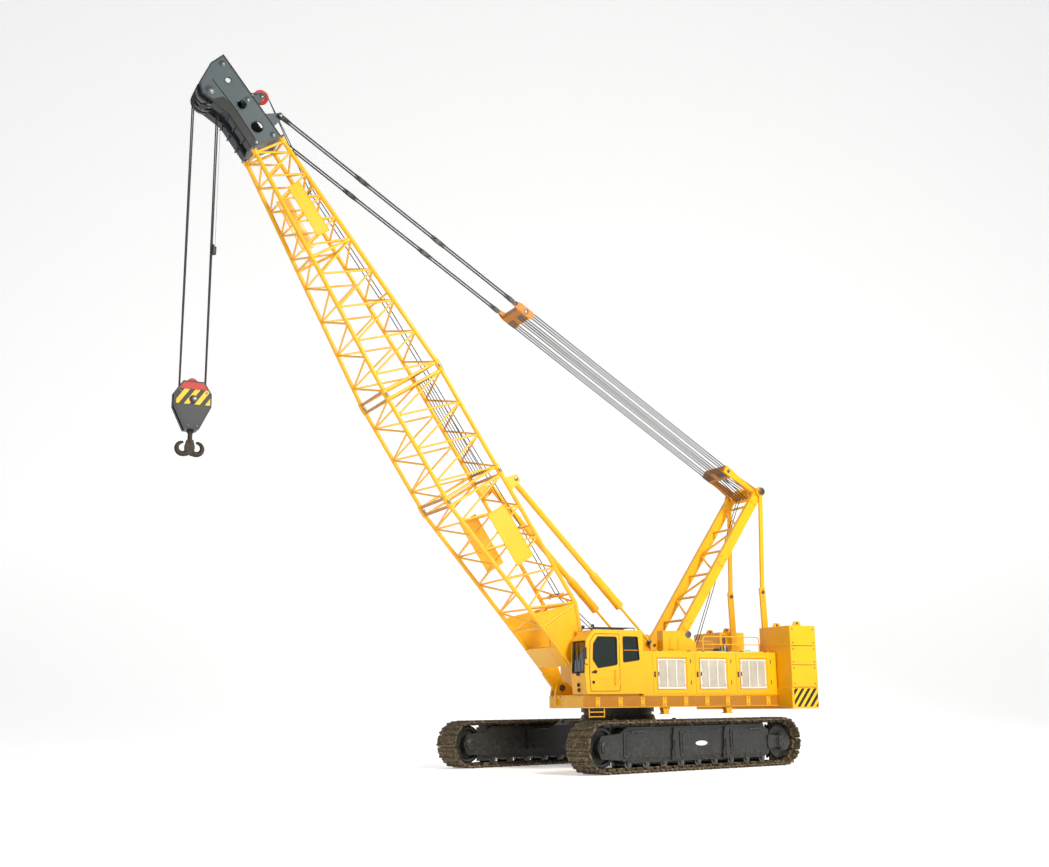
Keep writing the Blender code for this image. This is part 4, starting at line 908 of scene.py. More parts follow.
def build_cab():
    """Rubber seals, wiper, guard rail, lamps, mirror, levers, seat cushions and steps."""
    s = Solid()
    o = CAB_OUT
    band(s, fillet(inset(REAR_GLASS, -0.012), 0.05), 0.026, o - 0.010, o + 0.005)
    band(s, fillet([(0.38, 2.53), (1.62, 2.43), (1.68, 3.00), (1.54, 3.19), (0.38, 3.19)], 0.06), 0.026,
         CAB_IN - 0.005, CAB_IN + 0.01)
    # seal round the windscreen, on the slanting front
    for y in (CAB_IN + 0.055, o - 0.075):
        s.beam((CAB_X1 + 0.002, y + 0.01, 2.315), (1.845, y + 0.01, 3.065), 0.024, 0.012)
    for z, x in ((2.315, CAB_X1 + 0.001), (3.065, 1.846)):
        s.beam((x, CAB_IN + 0.055, z), (x, o - 0.055, z), 0.012, 0.024)
    s.tube(soft_path([(1.885, 1.36, 2.30), (1.905, 1.36, 2.34), (1.885, 1.20, 2.95)], 0.03), 0.007, 8)
    s.beam((1.878, 1.24, 2.62), (1.866, 1.16, 3.04), 0.012, 0.018)
    s.box((1.86, 1.30, 2.24), (1.91, 1.42, 2.31))
    s.make("cab_seals_and_wiper", [RUBBER], "superstructure")
    s = Solid()
    # roof guard: bars on brackets
    z = 3.40
    for y in (CAB_IN + 0.10, o - 0.10):
        s.tube(soft_path([(0.40, y, 3.33), (0.40, y, z), (1.58, y, z), (1.62, y, 3.33)], 0.05), 0.013, 8)
    for x in np.linspace(0.50, 1.50, 9):
        s.bar((x, CAB_IN + 0.10, z), (x, o - 0.10, z), 0.008, 6)
    for y in (CAB_IN + 0.12, o - 0.12):
        s.box((1.56, y - 0.05, 3.405), (1.64, y + 0.05, 3.475))
        s.turned((1.64, y, 3.44), (1, 0, 0), [(0.035, 0), (0.035, 0.01), (0.03, 0.015)], 20, 1)
    # mirror on an arm at the front corner
    s.tube(soft_path([(1.80, o, 2.50), (1.95, o + 0.10, 2.52), (1.97, o + 0.14, 2.75)], 0.04), 0.009, 8)
    s.prism(fillet(rect(1.95, 2.62, 1.98, 2.90), 0.01), o + 0.06, o + 0.22)
    for x, z in ((1.888, 2.02), (1.880, 1.90)):
        s.turned((x - 0.03, 1.34, z), (1, 0, 0), [(0.045, 0), (0.045, 0.035), (0.035, 0.045)], 20)
    s.make("cab_guard_and_lamps", [BLACK_AND_SHADE, CLEAR_LENS], "superstructure", bevel=0.003)
    # inside: seat with arms, console top, levers, pedals, screen
    yc = (CAB_IN + CAB_OUT) / 2
    s = Solid()
    s.prism(fillet([(0.56, 2.14), (1.08, 2.18), (1.10, 2.27), (0.56, 2.26)], 0.04), yc - 0.23, yc + 0.23)
    s.prism(fillet([(0.53, 2.22), (0.66, 2.22), (0.58, 2.86), (0.47, 2.86)], 0.04), yc - 0.22, yc + 0.22)
    s.prism(fillet([(0.47, 2.90), (0.56, 2.90), (0.54, 3.06), (0.46, 3.06)], 0.03), yc - 0.13, yc + 0.13)
    s.make("seat_cushions", [CLOTH], "superstructure", bevel=0.02, stands_for="cab_seat")
    s = Solid()
    s.box((0.66, yc - 0.17, 1.86), (1.00, yc + 0.17, 2.14))
    for e in (-1, 1):
        s.prism(fillet([(0.66, 2.40), (1.12, 2.40), (1.12, 2.46), (0.66, 2.48)], 0.02),
                yc + e * 0.27 - 0.04, yc + e * 0.27 + 0.04)
        s.tube(soft_path([(1.06, yc + e * 0.27, 2.45), (1.07, yc + e * 0.27, 2.60)], 0.02), 0.008, 8)
        s.turned((1.07, yc + e * 0.27, 2.58), (0, 0, 1),
                 [(0.012, 0), (0.022, 0.02), (0.022, 0.06), (0.01, 0.075)], 16)
    s.prism(fillet([(1.46, 2.44), (1.68, 2.50), (1.66, 2.60), (1.60, 2.60)], 0.02), yc - 0.16, yc + 0.16)
    for y in (-0.12, -0.04, 0.06):
        s.prism([(1.46, 1.87), (1.60, 1.95), (1.60, 1.97), (1.46, 1.89)], yc + y - 0.03, yc + y + 0.03)
    s.make("cab_controls", [RUBBER], "superstructure", bevel=0.006)
    g = Solid()
    g.box((0.605, CAB_IN + 0.145, 3.312), (1.195, CAB_OUT - 0.145, 3.318))
    g.prism(inset([(0.40, 2.55), (1.60, 2.45), (1.66, 3.00), (1.52, 3.17), (0.40, 3.17)], 0.001),
            CAB_IN + 0.020, CAB_IN + 0.026)
    g.box((CAB_X0 + 0.02, CAB_IN + 0.101, 2.721), (CAB_X0 + 0.026, CAB_OUT - 0.101, 3.119))
    g.make("roof_and_inner_glass", [GLASS], "superstructure")
    # door: seal, handle, grab bar, hinge pins
    s = Solid()
    band(s, fillet(inset(DOOR_GLASS, -0.012), 0.07), 0.028, o - 0.008, o + 0.006, 1)
    band(s, fillet(inset(DOOR, 0.006), 0.05), 0.009, o + 0.000, o + 0.006, 1)
    s.disc((1.60, o + 0.0, 2.33), (0, 1, 0), 0.045, 0.012, mat=1)
    s.prism(fillet([(1.56, 2.31), (1.70, 2.30), (1.70, 2.34), (1.56, 2.35)], 0.01), o + 0.006, o + 0.030, 1)
    s.disc((1.655, o, 2.08), (0, 1, 0), 0.040, 0.014, mat=1)
    s.tube(soft_path([(1.05, o, 2.02), (1.05, o + 0.05, 2.02), (1.05, o + 0.05, 2.36), (1.05, o, 2.36)],
                     0.03), 0.011, 8, 0)
    s.prism(fillet([(0.97, 2.20), (1.50, 2.16), (1.50, 2.20), (0.97, 2.24)], 0.015), o + 0.001, o + 0.010, 0)
    s.make("door_fittings", [YELLOW, RUBBER], "cab_door", bevel=0.002)
    s = Solid()
    s.prism(rect(0.345, 2.84, 0.795, 2.865), o - 0.02, o + 0.004)
    s.make("window_bar", [AMBER_AND_SHADE], "superstructure")


# ------------------------------------------------------------------ gantry, winches
def on_gantry(t):
    """Point of the mast's side at share t of the way from its foot to the head tube."""
    return np.array((MAST_X + (GX - MAST_X) * t, MAST_Z + (GZ - MAST_Z) * t))


def wheel(s, c, axis, r, w, mats=(0, 1), n=40, hub=0.08):
    """Rope sheave: V-grooved rim, dished web with a hub, as one closed section turned round."""
    g = 0.030
    right = [(hub * 0.5, w * 0.62), (hub, w * 0.62), (hub + 0.01, w * 0.22), (r - 0.085, w * 0.14),
             (r - 0.06, w * 0.45), (r - 0.004, w * 0.5), (r, w * 0.46), (r - g * 0.6, w * 0.24),
             (r - g, w * 0.10)]
    s.turned(c, axis, right + [(a, -b) for a, b in reversed(right)], n, mats[0], ring=True)
    for e in (-1, 1):
        base = np.array(c, float) + np.array(axis, float) * e * w * 0.60
        s.turned(base, np.array(axis) * e, [(hub * 0.95, 0), (hub * 0.95, 0.01), (hub * 0.6, 0.014)], 28,
                 mats[1])


def build_gantry():
    """Gussets, head sheaves between the lugs, pin keepers and leg turnbuckles."""
    s = Solid()
    for y in (-0.24, -0.12, 0.0, 0.12, 0.24):
        wheel(s, (GX, y, GZ), (0, 1, 0), 0.19, 0.075, (0, 2), hub=0.10)
    for side in (1, -1):
        for y in (0.44, 0.80):
            s.disc((GX, side * y, GZ), (0, side, 0), 0.10, 0.02, mat=1)
        s.bolt_ring((GX, side * 0.82, GZ), (0, side, 0), 0.07, 6, 0.010, 0.01, 1)
        yo = side * (MAST_Y + 0.065)
        for t in (0.06, 0.50, 0.94):
            x, z = on_gantry(t)
            d = on_gantry(1.0) - on_gantry(0.0)
            d /= np.linalg.norm(d)
            nn = np.array((-d[1], d[0]))
            q = [np.array((x, z)) + d * i * 0.14 + nn * j * 0.10 for i, j in CORNERS]
            s.prism(fillet([tuple(v) for v in q], 0.03), yo - side * 0.002, yo + side * 0.012, 0)
            for i, j in CORNERS:
                v = np.array((x, z)) + d * i * 0.10 + nn * j * 0.065
                s.bolt((v[0], yo + side * 0.012, v[1]), (0, side, 0), 0.011, 0.010, 1)
        yt = side * (MAST_Y + 0.145)
        for x, z in ((-4.25, 4.50), (-4.295, 3.02)):
            s.disc((x, yt, z), (0, side, 0), 0.05, 0.022, mat=1)
            s.disc((x, yt - side * 0.082, z), (0, -side, 0), 0.05, 0.02, mat=1)
        for z in (4.28, 4.40, 4.60):
            s.bolt((-4.25, yt, z - 0.02), (0, side, 0), 0.013, 0.012, 1)
        s.disc((MAST_X, side * 0.97, MAST_Z - 0.02), (0, side, 0), 0.09, 0.02, mat=1)
        s.disc((STOP_X, side * 0.72, STOP_Z), (0, side, 0), 0.045, 0.02, mat=1)
        # ribs on the gantry feet
        for x in (-1.05, -1.30):
            s.box((x - 0.012, side * 0.965, 1.77), (x + 0.012, side * 0.99, 3.20), 0)
    s.make("gantry_fittings", [YELLOW, PIN_STEEL, RED, AMBER_AND_SHADE], "superstructure", bevel=0.003)


DRUMS = (("front_winch_drum", -0.35, 2.25, 0.27), ("rear_winch_drum", -1.15, 2.25, 0.27),
         ("luff_winch_drum", -2.02, 2.22, 0.24))


def build_winches():
    """Rope coiled on each drum: a helix of radius r whose turns lie one rope diameter apart."""
    for name, x, z, r in DRUMS:
        s = Solid()
        d = 0.032
        half = 0.50
        turns = int(2 * half / d)
        u = np.linspace(0, turns, turns * 20 + 1)
        a = TAU * u
        path = np.stack([x + (r + d / 2) * np.cos(a), -half + u * d, z + (r + d / 2) * np.sin(a)], 1)
        s.tube(path, d * 0.49, 6)
        s.make(name + "_rope", [ROPE], name)
        s = Solid()
        for e in (-1, 1):
            s.bolt_ring((x, e * 0.568, z), (0, e, 0), r + 0.05, 10, 0.012, 0.01)
        s.make(name + "_bolts", [PIN_STEEL], name)
        s = Solid()
        for e in (-1, 1):
            s.turned((x, e * 0.64, z), (0, e, 0), [(0.16, 0), (0.16, 0.035), (0.12, 0.06), (0.10, 0.11),
                                                   (0.03, 0.12)], 28, 0)
            s.bolt_ring((x, e * 0.675, z), (0, e, 0), 0.14, 8, 0.010, 0.01, 1)
        s.make(name.replace("drum", "motor"), [CHARCOAL, PIN_STEEL], "superstructure")


# ------------------------------------------------------------------ boom
def at(st, x):
    """Station (x, half width, lower face, upper face) at x, between two of the list's stations."""
    for a, b in zip(st[:-1], st[1:]):
        if a[0] - 1e-9 <= x <= b[0] + 1e-9:
            t = (x - a[0]) / (b[0] - a[0])
            return [a[k] + (b[k] - a[k]) * t for k in range(4)]
    raise ValueError(x)


FOOT_ST = [(0.42, HALF, -0.10, 0.16), (1.92, HALF, -0.30, HALF), (S_FOOT - JOINT, HALF, -HALF, HALF)]
INSERT_ST = [(S_FOOT + JOINT, HALF, -HALF, HALF), (S_INSERT - JOINT, HALF, -HALF, HALF)]
TIP_ST = [(S_INSERT + JOINT, HALF, -HALF, HALF), (S_TIP - JOINT, TIP_HALF, -TIP_HALF, TIP_HALF)]


def spread(a, b, n):
    """The n + 1 ends of n equal steps from a to b."""
    return [a + (b - a) * k / n for k in range(n + 1)]


def lattice(s, st, pts, rings, ends, r_chord=CHORD_R, r_lace=LACE_R):
    """Chords, cross frames and zigzag laces whose ends are flattened where they meet the chords."""
    for sy in (1, -1):
        for j in (2, 3):
            s.tube([(a[0], sy * a[1], a[j]) for a in st], r_chord, 20)
    for x in rings:
        q = at(st, x)
        c4 = [(q[0], q[1], q[2]), (q[0], q[1], q[3]), (q[0], -q[1], q[3]), (q[0], -q[1], q[2])]
        for i in range(4):
            s.bar(c4[i], c4[(i + 1) % 4], 0.034, 14)
    for k, (a, b) in enumerate(zip(pts[:-1], pts[1:])):
        pa, pb = at(st, a), at(st, b)
        w = 1 if k % 2 else -1
        bars = [((pa[0], -w * pa[1], pa[j]), (pb[0], w * pb[1], pb[j])) for j in (2, 3)]
        lo, hi = (2, 3) if w > 0 else (3, 2)
        bars += [((pa[0], sy * pa[1], pa[lo]), (pb[0], sy * pb[1], pb[hi])) for sy in (1, -1)]
        for q0, q1 in bars:
            s.bar(q0, q1, r_lace, 12)
    for x, way in ends:
        q = at(st, x)
        for sy in (1, -1):
            for j in (2, 3):
                c = np.array((x - way * 0.06, sy * q[1], q[j]))
                s.turned(c, (way, 0, 0),
                         [(0.056, 0), (0.074, 0.04), (0.076, 0.06), (0.076, 0.165), (0.066, 0.1695)], 22)
                m = np.array((x + way * 0.085, sy * q[1], q[j]))
                s.turned(m - np.array((0, 0.09, 0)), (0, 1, 0), [(0.026, 0), (0.026, 0.18)], 16, 1)
                for e in (-1, 1):
                    s.disc(m + np.array((0, e * 0.082, 0)), (0, e, 0), 0.034, 0.012, mat=1)


def board(s, s0, s1, n0, n1, st, side, mat=0):
    """Blank name board: a plate with a folded rim, leaning with the chords."""
    c = []
    for x, n in ((s0, n0), (s1, n0), (s1, n1), (s0, n1)):
        w = at(st, x)[1] + LACE_R + 0.0005
        c.append((x, n, w))
    faces = [[(x, side * (w + off), n) for x, n, w in c] for off in (0, 0.020)]
    s.grid(np.array(faces), wrap_v=True, caps=True, mat=mat)
    for (xa, na, wa), (xb, nb, wb) in zip(c, c[1:] + c[:1]):
        s.tube([(xa, side * (wa + 0.018), na), (xb, side * (wb + 0.018), nb)], 0.012, 8, mat)


def guide_roller(s, x, zc, r, length, lip, foot, face):
    """Spool over a cross tube of the boom's upper face, between two ears."""
    s.turned((x, -length / 2, zc), (0, 1, 0), [(0.02, 0), (r, 0.01), (r - 0.01, lip), (r - 0.01,
                                                                                       length - lip),
                                              (r, length - 0.01), (0.02, length)], 18, 1)
    top = zc + 0.035 if r > 0.047 else zc + 0.03
    for y in (-length / 2 - 0.02, length / 2 + 0.02):
        s.prism([(x - foot, face - 0.02), (x + foot, face - 0.02), (x + 0.03, top), (x - 0.03, top)],
                y - 0.012, y + 0.012)


def build_boom():
    """Three lattice sections: chords, laces, frames, connectors, foot plates, rollers and boards."""
    s = Solid("boom")
    lattice(s, FOOT_ST, [1.96] + spread(2.52, S_FOOT - JOINT, 7), (1.92, S_FOOT - JOINT),
            ((S_FOOT - JOINT, 1),))
    for side in (1, -1):
        y0, y1 = side * 0.76, side * 0.88
        lug = arc(0, 0, 0.14, 90, 270, 17) + [(0.55, -0.20), (0.55, 0.28)]
        s.prism(lug, y0, y1)
        sp = fillet([(0.30, -0.16), (2.34, -0.40), (1.93, HALF + 0.03), (1.75, HALF - 0.02), (0.20, 0.16)],
                    0.03)
        s.prism(sp, side * (HALF - 0.012), side * (HALF + 0.012))
        band(s, [(0.45, -0.14), (2.30, -0.36), (1.92, HALF - 0.03), (0.45, 0.24)], 0.035,
             side * (HALF - 0.022), side * (HALF + 0.024))
        s.bar((0, side * 0.63, 0), (0, side * 0.965, 0), 0.065, 28, 1)
        s.disc((0, side * 0.962, 0), (0, side, 0), 0.085, 0.02, mat=1)
        s.disc((0, side * 0.634, 0), (0, -side, 0), 0.085, 0.02, mat=1)
        s.prism(fillet([(S_FOOT - 0.62, HALF), (S_FOOT - 0.22, HALF), (5.47, 1.21), (5.29, 1.21)], 0.04),
                side * 0.75, side * 0.82)
        s.disc((STOP_EYE_S, side * 0.82, STOP_EYE_N), (0, side, 0), 0.05, 0.02, mat=1)
    s.prism([(0.75, -0.22), (1.35, -0.30), (1.35, -0.24), (0.75, -0.16)], -HALF, HALF)
    s.bar((1.05, -HALF, 0.05), (1.05, HALF, 0.05), 0.05, 18)
    # rope guide rollers on the upper face
    for x in FOOT_ROLLERS:
        guide_roller(s, x, HALF + 0.075, 0.05, 0.60, 0.05, 0.06, HALF)
        s.bar((x, -HALF, HALF), (x, HALF, HALF), 0.028, 12)
    s.make("boom_foot_lattice", [YELLOW, PIN_STEEL], "boom", stands_for="boom_foot")
    s = Solid("boom")
    lattice(s, INSERT_ST, spread(S_FOOT + JOINT, S_INSERT - JOINT, 6), (S_FOOT + JOINT, S_INSERT - JOINT),
            ((S_FOOT + JOINT, -1), (S_INSERT - JOINT, 1)))
    s.make("boom_insert_lattice", [YELLOW, PIN_STEEL], "boom", stands_for="boom_insert")
    s = Solid("boom")
    lattice(s, TIP_ST, spread(S_INSERT + JOINT, TIP_BREAK, 8) + spread(TIP_BREAK, S_TIP - JOINT, 9)[1:],
            (S_INSERT + JOINT, TIP_BREAK, S_TIP - JOINT), ((S_INSERT + JOINT, -1), (S_TIP - JOINT, 1)))
    for x in TIP_ROLLERS:
        q = at(TIP_ST, x)
        guide_roller(s, x, q[3] + 0.07, 0.045, 0.40, 0.04, 0.05, q[3])
        s.bar((x, -q[1], q[3]), (x, q[1], q[3]), 0.026, 12)
    s.make("boom_tip_lattice", [YELLOW, PIN_STEEL], "boom", stands_for="boom_tip")
    # heavy amber cross members where the sections meet
    s = Solid("boom")
    for x in (S_FOOT - JOINT, S_FOOT + JOINT, S_INSERT - JOINT, S_INSERT + JOINT):
        for n in (HALF, -HALF):
            s.beam((x, -HALF + 0.05, n), (x, HALF - 0.05, n), 0.07, 0.075)
    for k in range(5):
        s.bar((S_FOOT + 0.10, -0.5 + 0.15 * k, 0.74), (S_INSERT - 0.10, -0.5 + 0.15 * k, 0.74), 0.011, 8, 1)
    s.make("boom_cross_members", [AMBER_AND_SHADE, ROPE], "boom", bevel=0.006)
    s = Solid("boom")
    for side in (1, -1):
        board(s, 3.55, 5.01, -0.08, 0.44, FOOT_ST, side)
        board(s, 13.0, 14.39, -0.17, 0.17, TIP_ST, side)
    s.make("name_boards", [YELLOW], "boom", stands_for=("left_foot_board", "right_foot_board",
                                                        "left_tip_board",
                                                  "right_tip_board"))


# ------------------------------------------------------------------ boom head, sheaves, rigging
def build_head():
    """Rimmed cheek plates, pins, webs, sheaves with grooves and keepers on the boom head."""
    s = Solid("boom")
    edge = [(15.6, 0.40), (17.98, 0.15), (17.90, -0.26), (17.56, -0.78), (17.28, -0.86), (17.02, -0.72),
            (16.60, -0.52), (15.6, -0.45)]
    for side in (1, -1):
        yo = side * (HEAD_Y + PLATE)
        y0, y1 = yo - side * 0.002, yo + side * 0.012
        band(s, fillet(inset(edge[::-1], 0.004), 0.03), 0.030, y0, y1, 2)
        # thin black sheet on each cheek's lower part: partly dark steel, partly painted shade of the head's
        # underside
        s.prism([(15.64, -0.43), (15.64, -0.24), (16.62, -0.30), (17.02, -0.42), (17.06, -0.70),
                 (16.60, -0.50)],
                yo, yo + side * 0.007, 2)
        s.beam((15.64, yo + side * 0.014, -0.225), (16.62, yo + side * 0.014, -0.285), 0.028, 0.045)
        s.beam((16.62, yo + side * 0.014, -0.285), (17.50, yo + side * 0.014, -0.42), 0.028, 0.045)
        for sx, n, r in ((SHEAVE_S, SHEAVE_N, 0.12), (17.78, 0, 0.075), (16.75, 0.10, 0.075),
                         (15.72, 0.22, 0.07), (15.72, -0.28, 0.07)):
            s.disc((sx, yo - side * 0.002, n), (0, side, 0), r, 0.024)
            s.disc((sx, yo + side * 0.02, n), (0, side, 0), r * 0.62, 0.022, mat=1)
        for sx, n, r in ((17.35, -0.09, 0.075), (16.68, -0.10, 0.125), (16.04, -0.05, 0.155)):
            rings = [[(sx + q * a, y, n + q * b) for a, b in zip(*circle(32))] for q, y in
                     ((r, y0), (r, y1), (r + 0.022, y1), (r + 0.022, y0))]
            s.grid(np.array(rings), wrap_u=True, wrap_v=True)
        for sx, n in ((15.85, 0.30), (15.85, -0.38), (16.3, 0.30), (17.1, 0.18), (17.6, 0.13),
                      (17.70, -0.35)):
            s.bolt((sx, yo - side * 0.002, n), (0, side, 0), 0.016, 0.016, 1)
        # pendant sockets' pin ends
        s.disc((PENDANT_S, side * 0.53, PENDANT_N), (0, side, 0), 0.055, 0.018, mat=1)
    for y in (-0.275, 0.275):
        s.beam((16.95, y, -0.32), (17.55, y, -0.30), 0.014, 0.05)
    # closing plate below the cheeks and the web between them, black: partly dark steel, partly painted shade
    # of the head's underside
    for e in (-1, 1):
        s.prism([(15.62, -0.452), (16.60, -0.522), (17.00, -0.712), (17.00, -0.722), (16.60, -0.532),
                 (15.62, -0.462)],
                e * 0.165, e * HEAD_Y, 2)
        for x in (15.9, 16.25, 16.55):
            s.beam((x, e * 0.165, -0.475 - 0.07 * (x - 15.6)), (x, e * HEAD_Y, -0.475 - 0.07 * (x - 15.6)),
                   0.03, 0.07, 2)
    s.prism([(15.70, -0.36), (15.70, 0.27), (16.90, 0.18), (16.90, -0.36)], -0.012, 0.012, 2)
    for n in (0.36, -0.40):
        s.beam((15.66, -0.42, n), (15.66, 0.42, n), 0.06, 0.06)
    for k in range(5):
        x = 16.1 + 0.34 * k
        s.beam((x, -HEAD_Y, 0.33 - 0.030 * k), (x, HEAD_Y, 0.33 - 0.030 * k), 0.05, 0.02)
    s.make("head_fittings", [SLATE, PIN_STEEL, BLACK_AND_SHADE], "boom", bevel=0.003)
    s = Solid("boom")
    c = (SHEAVE_S, 0.0, SHEAVE_N)
    for y in (-0.27, -0.11, 0.11, 0.27):
        wheel(s, (c[0], y, c[2]), (0, 1, 0), SHEAVE_R, 0.085, (0, 1), 56, 0.12)
    s.turned((c[0], -0.40, c[2]), (0, 1, 0), [(0.058, 0), (0.058, 0.80)], 28, 0)
    for y in (-0.35, -0.19, 0.0, 0.19, 0.35):
        s.turned((c[0], y - 0.03, c[2]), (0, 1, 0), [(0.085, 0), (0.085, 0.06)], 28, 1)
    s.make("head_sheave_row", [PIN_STEEL, RED], "head_sheaves", stands_for="head_sheaves")
    s = Solid("boom")
    wheel(s, (GUIDE_S, 0, GUIDE_N), (0, 1, 0), GUIDE_R, 0.075, (1, 1), 44, 0.06)
    s.make("guide_sheave_wheel", [PIN_STEEL, RED], "guide_sheave", stands_for="guide_sheave")
    s = Solid("boom")
    for side in (1, -1):
        s.disc((GUIDE_S, side * 0.088, GUIDE_N), (0, side, 0), 0.05, 0.02, mat=1)
        band(s, fillet([(16.62, 0.30), (17.02, 0.30), (16.88, 0.74), (16.74, 0.74)], 0.03), 0.03,
             side * 0.072, side * 0.098)
    s.make("guide_bracket_rims", [SLATE, PIN_STEEL], "boom", bevel=0.002)


FALLS_Y = (-0.40, -0.28, -0.16, 0.16, 0.28, 0.40)


def rope_wheels(s, x):
    """The row of small grooved wheels that the luffing strands run over."""
    for y in FALLS_Y:
        s.turned((x, y - 0.035, 0), (0, 1, 0), [(0.135, 0), (0.145, 0.008), (0.118, 0.028), (0.118, 0.042),
                                               (0.145, 0.062), (0.135, 0.07)], 32, 2)


def build_luffing():
    """Spreader and bridle sheaves, rope strands, and pendants in equal lengths joined by links."""
    L = FRAME["places"]["line_len"]
    s = Solid("line")
    for side in (1, -1):
        s.prism(fillet([(-0.09, -0.06), (0.10, -0.05), (0.93, -0.10), (1.17, -0.10), (1.17, 0.10),
                        (0.93, 0.10), (0.10, 0.05), (-0.09, 0.06)], 0.03), side * 0.498, side * 0.520, 0)
        s.disc((0, side * 0.516, 0), (0, side, 0), 0.06, 0.02, mat=1)
        s.disc((SPREAD_LEN, side * 0.518, 0), (0, side, 0), 0.05, 0.02, mat=1)
    rope_wheels(s, SPREAD_LEN)
    for y in (-0.5, 0.5):
        s.beam((0.915, y, 0.115), (1.165, y, 0.115), 0.03, 0.012)
    s.make("spreader_fittings", [YELLOW, PIN_STEEL, PIN_STEEL], "spreader", bevel=0.003)
    s = Solid("line")
    for side in (1, -1):
        s.prism(fillet([(8.10, -0.10), (8.60, -0.10), (8.74, -0.05), (8.74, 0.05), (8.60, 0.10),
                        (8.10, 0.10)], 0.03),
                side * 0.455, side * 0.475, 0)
        s.disc((BRIDLE_AT, side * 0.473, 0), (0, side, 0), 0.055, 0.02, mat=1)
    rope_wheels(s, BRIDLE_AT)
    for x in (8.23, 8.45, 8.53):
        for y in (-0.3, 0, 0.3):
            s.bolt((x, y, 0.119), (0, 0, 1), 0.018, 0.014, 1)
    s.make("bridle_fittings", [OCHRE, PIN_STEEL, PIN_STEEL], "bridle", bevel=0.003)
    # strands between spreader and bridle stretch with the luffing line
    s = Solid("line")
    a, b = SPREAD_LEN, BRIDLE_AT
    for y in FALLS_Y:
        for z in (-LUFF_ROPE_Z, LUFF_ROPE_Z):
            s.tube([(x, y, z) for x in np.linspace(a + 0.02, b - 0.02, 120)], ROPE_R * 1.15, 8)
    ends = [tuple((FRAME["places"]["line"] @ np.array((x, 0, 0, 1.0)))[:3]) for x in (a + 0.15, b - 0.15)]
    s.make("luffing_strands", [ROPE], ("spreader", "bridle", *ends),
           stands_for="luffing_ropes")
    # pendants: three lengths a side, sockets and pinned links
    s = Solid("line")
    ya, yb = 0.4583, 0.474
    x0, x1 = 8.69, L
    cuts = np.linspace(x0 + 0.16, x1 - 0.10, 4)
    for side in (1, -1):
        def yy(x):
            return side * (ya + (yb - ya) * (x - x0) / (x1 - x0))
        for xa, xb in zip(cuts[:-1], cuts[1:]):
            u = np.linspace(xa + 0.16, xb - 0.16, 40)
            for z in (-0.034, 0.034):
                s.tube([(x, yy(x), z) for x in u], 0.021, 10)
                for xe, w in ((xa + 0.16, 1), (xb - 0.16, -1)):
                    s.turned((xe - w * 0.14, yy(xe), z), (w, 0, 0), [(0.014, 0), (0.030, 0.01), (0.034, 0.06),
                                                                   (0.027, 0.16), (0.024, 0.21)], 16, 1)
        for x in cuts:
            y = yy(x)
            for e in (-1, 1):
                s.prism(fillet(rect(x - 0.10, -0.060, x + 0.10, 0.060), 0.04),
                        y + e * 0.018 - 0.006, y + e * 0.018 + 0.006, 1)
            for dx in (-0.06, 0.06):
                s.turned((x + dx, y - 0.034, 0), (0, 1, 0), [(0.018, 0), (0.018, 0.068)], 16, 1)
        for x, near in ((x0, cuts[0]), (x1, cuts[-1])):
            s.disc((x, yy(x) - 0.02, 0), (0, 1, 0), 0.055, 0.04, mat=1)
            s.beam((x, yy(x), 0), (near, yy(near), 0), 0.03, 0.05, 1)
    s.make("boom_pendants", [ROPE, BLACK_AND_SHADE], "pendants", stands_for=("left_pendant", "right_pendant"))
    # luffing rope from its drum up to the gantry head
    s = Solid()
    drum_x, drum_z = DRUMS[2][1:3]
    for y in (-0.06, 0.06):
        s.bar((drum_x - 0.20, y, drum_z + 0.18), (GX + 0.20, y, GZ - 0.10), ROPE_R * 0.8, 8)
    s.make("luffing_lead_ropes", [ROPE], "superstructure")
    # short falls between the gantry head sheaves and the spreader
    s = Solid("line")
    for y in (-0.24, -0.12, 0.0, 0.12, 0.24):
        for e in (-1, 1):
            s.bar((0.03, y, e * 0.178), (0.93, y, e * 0.10), ROPE_R * 0.95, 8)
    s.make("gantry_falls", [ROPE], "spreader")


def build_backstops():
    """Painted rods in buffer tubes with collars, glands and spring caps."""
    for side, tag in ((1, "left"), (-1, "right")):
        y = side * STOP_Y
        s = Solid("stop")
        s.turned((0, y, 0), (1, 0, 0), [(0.034, 0.06), (0.0335, 3.2)], 24, 0)
        s.turned((0, y - 0.035, 0), (0, 1, 0), [(0.030, 0), (0.075, 0.004), (0.075, 0.066), (0.030, 0.07)],
                 28, 1)
        s.turned((0, y, 0), (1, 0, 0), [(0.045, 0.05), (0.055, 0.08), (0.055, 0.16), (0.04, 0.19)], 24, 1)
        s.make(f"{tag}_backstop_rod_and_eye", [YELLOW, PIN_STEEL], f"{tag}_backstop_rod",
               stands_for=f"{tag}_backstop_rod")
        s = Solid("stop")
        s.turned((0, y, 0), (1, 0, 0), [(0.105, 1.352), (0.122, 1.36), (0.122, 1.43), (0.112, 1.44), (0.112,
                                                                                                      1.95),
                                       (0.118, 1.96), (0.118, 2.00), (0.112, 2.01), (0.112, 2.36),
                                        (0.100, 2.42),
                                       (0.083, 2.43), (0.083, 2.50), (0.079, 2.51), (0.079, 5.50),
                                        (0.07, 5.53)], 32, 0)
        for x in (1.50, 1.90, 2.25, 3.5, 4.6):
            s.turned((x, y, 0), (1, 0, 0), [(0.082, 0), (0.120 if x < 2.4 else 0.088, 0.004),
                                           (0.120 if x < 2.4 else 0.088, 0.03), (0.082, 0.034)], 32, 0)
        s.bolt_ring((1.352, y, 0), (-1, 0, 0), 0.095, 8, 0.010, 0.012, 1)
        s.disc((5.66, y + side * 0.04, 0), (0, side, 0), 0.05, 0.02, mat=1)
        s.make(f"{tag}_backstop_collars", [YELLOW, PIN_STEEL], f"{tag}_backstop_tube", bevel=0.002)


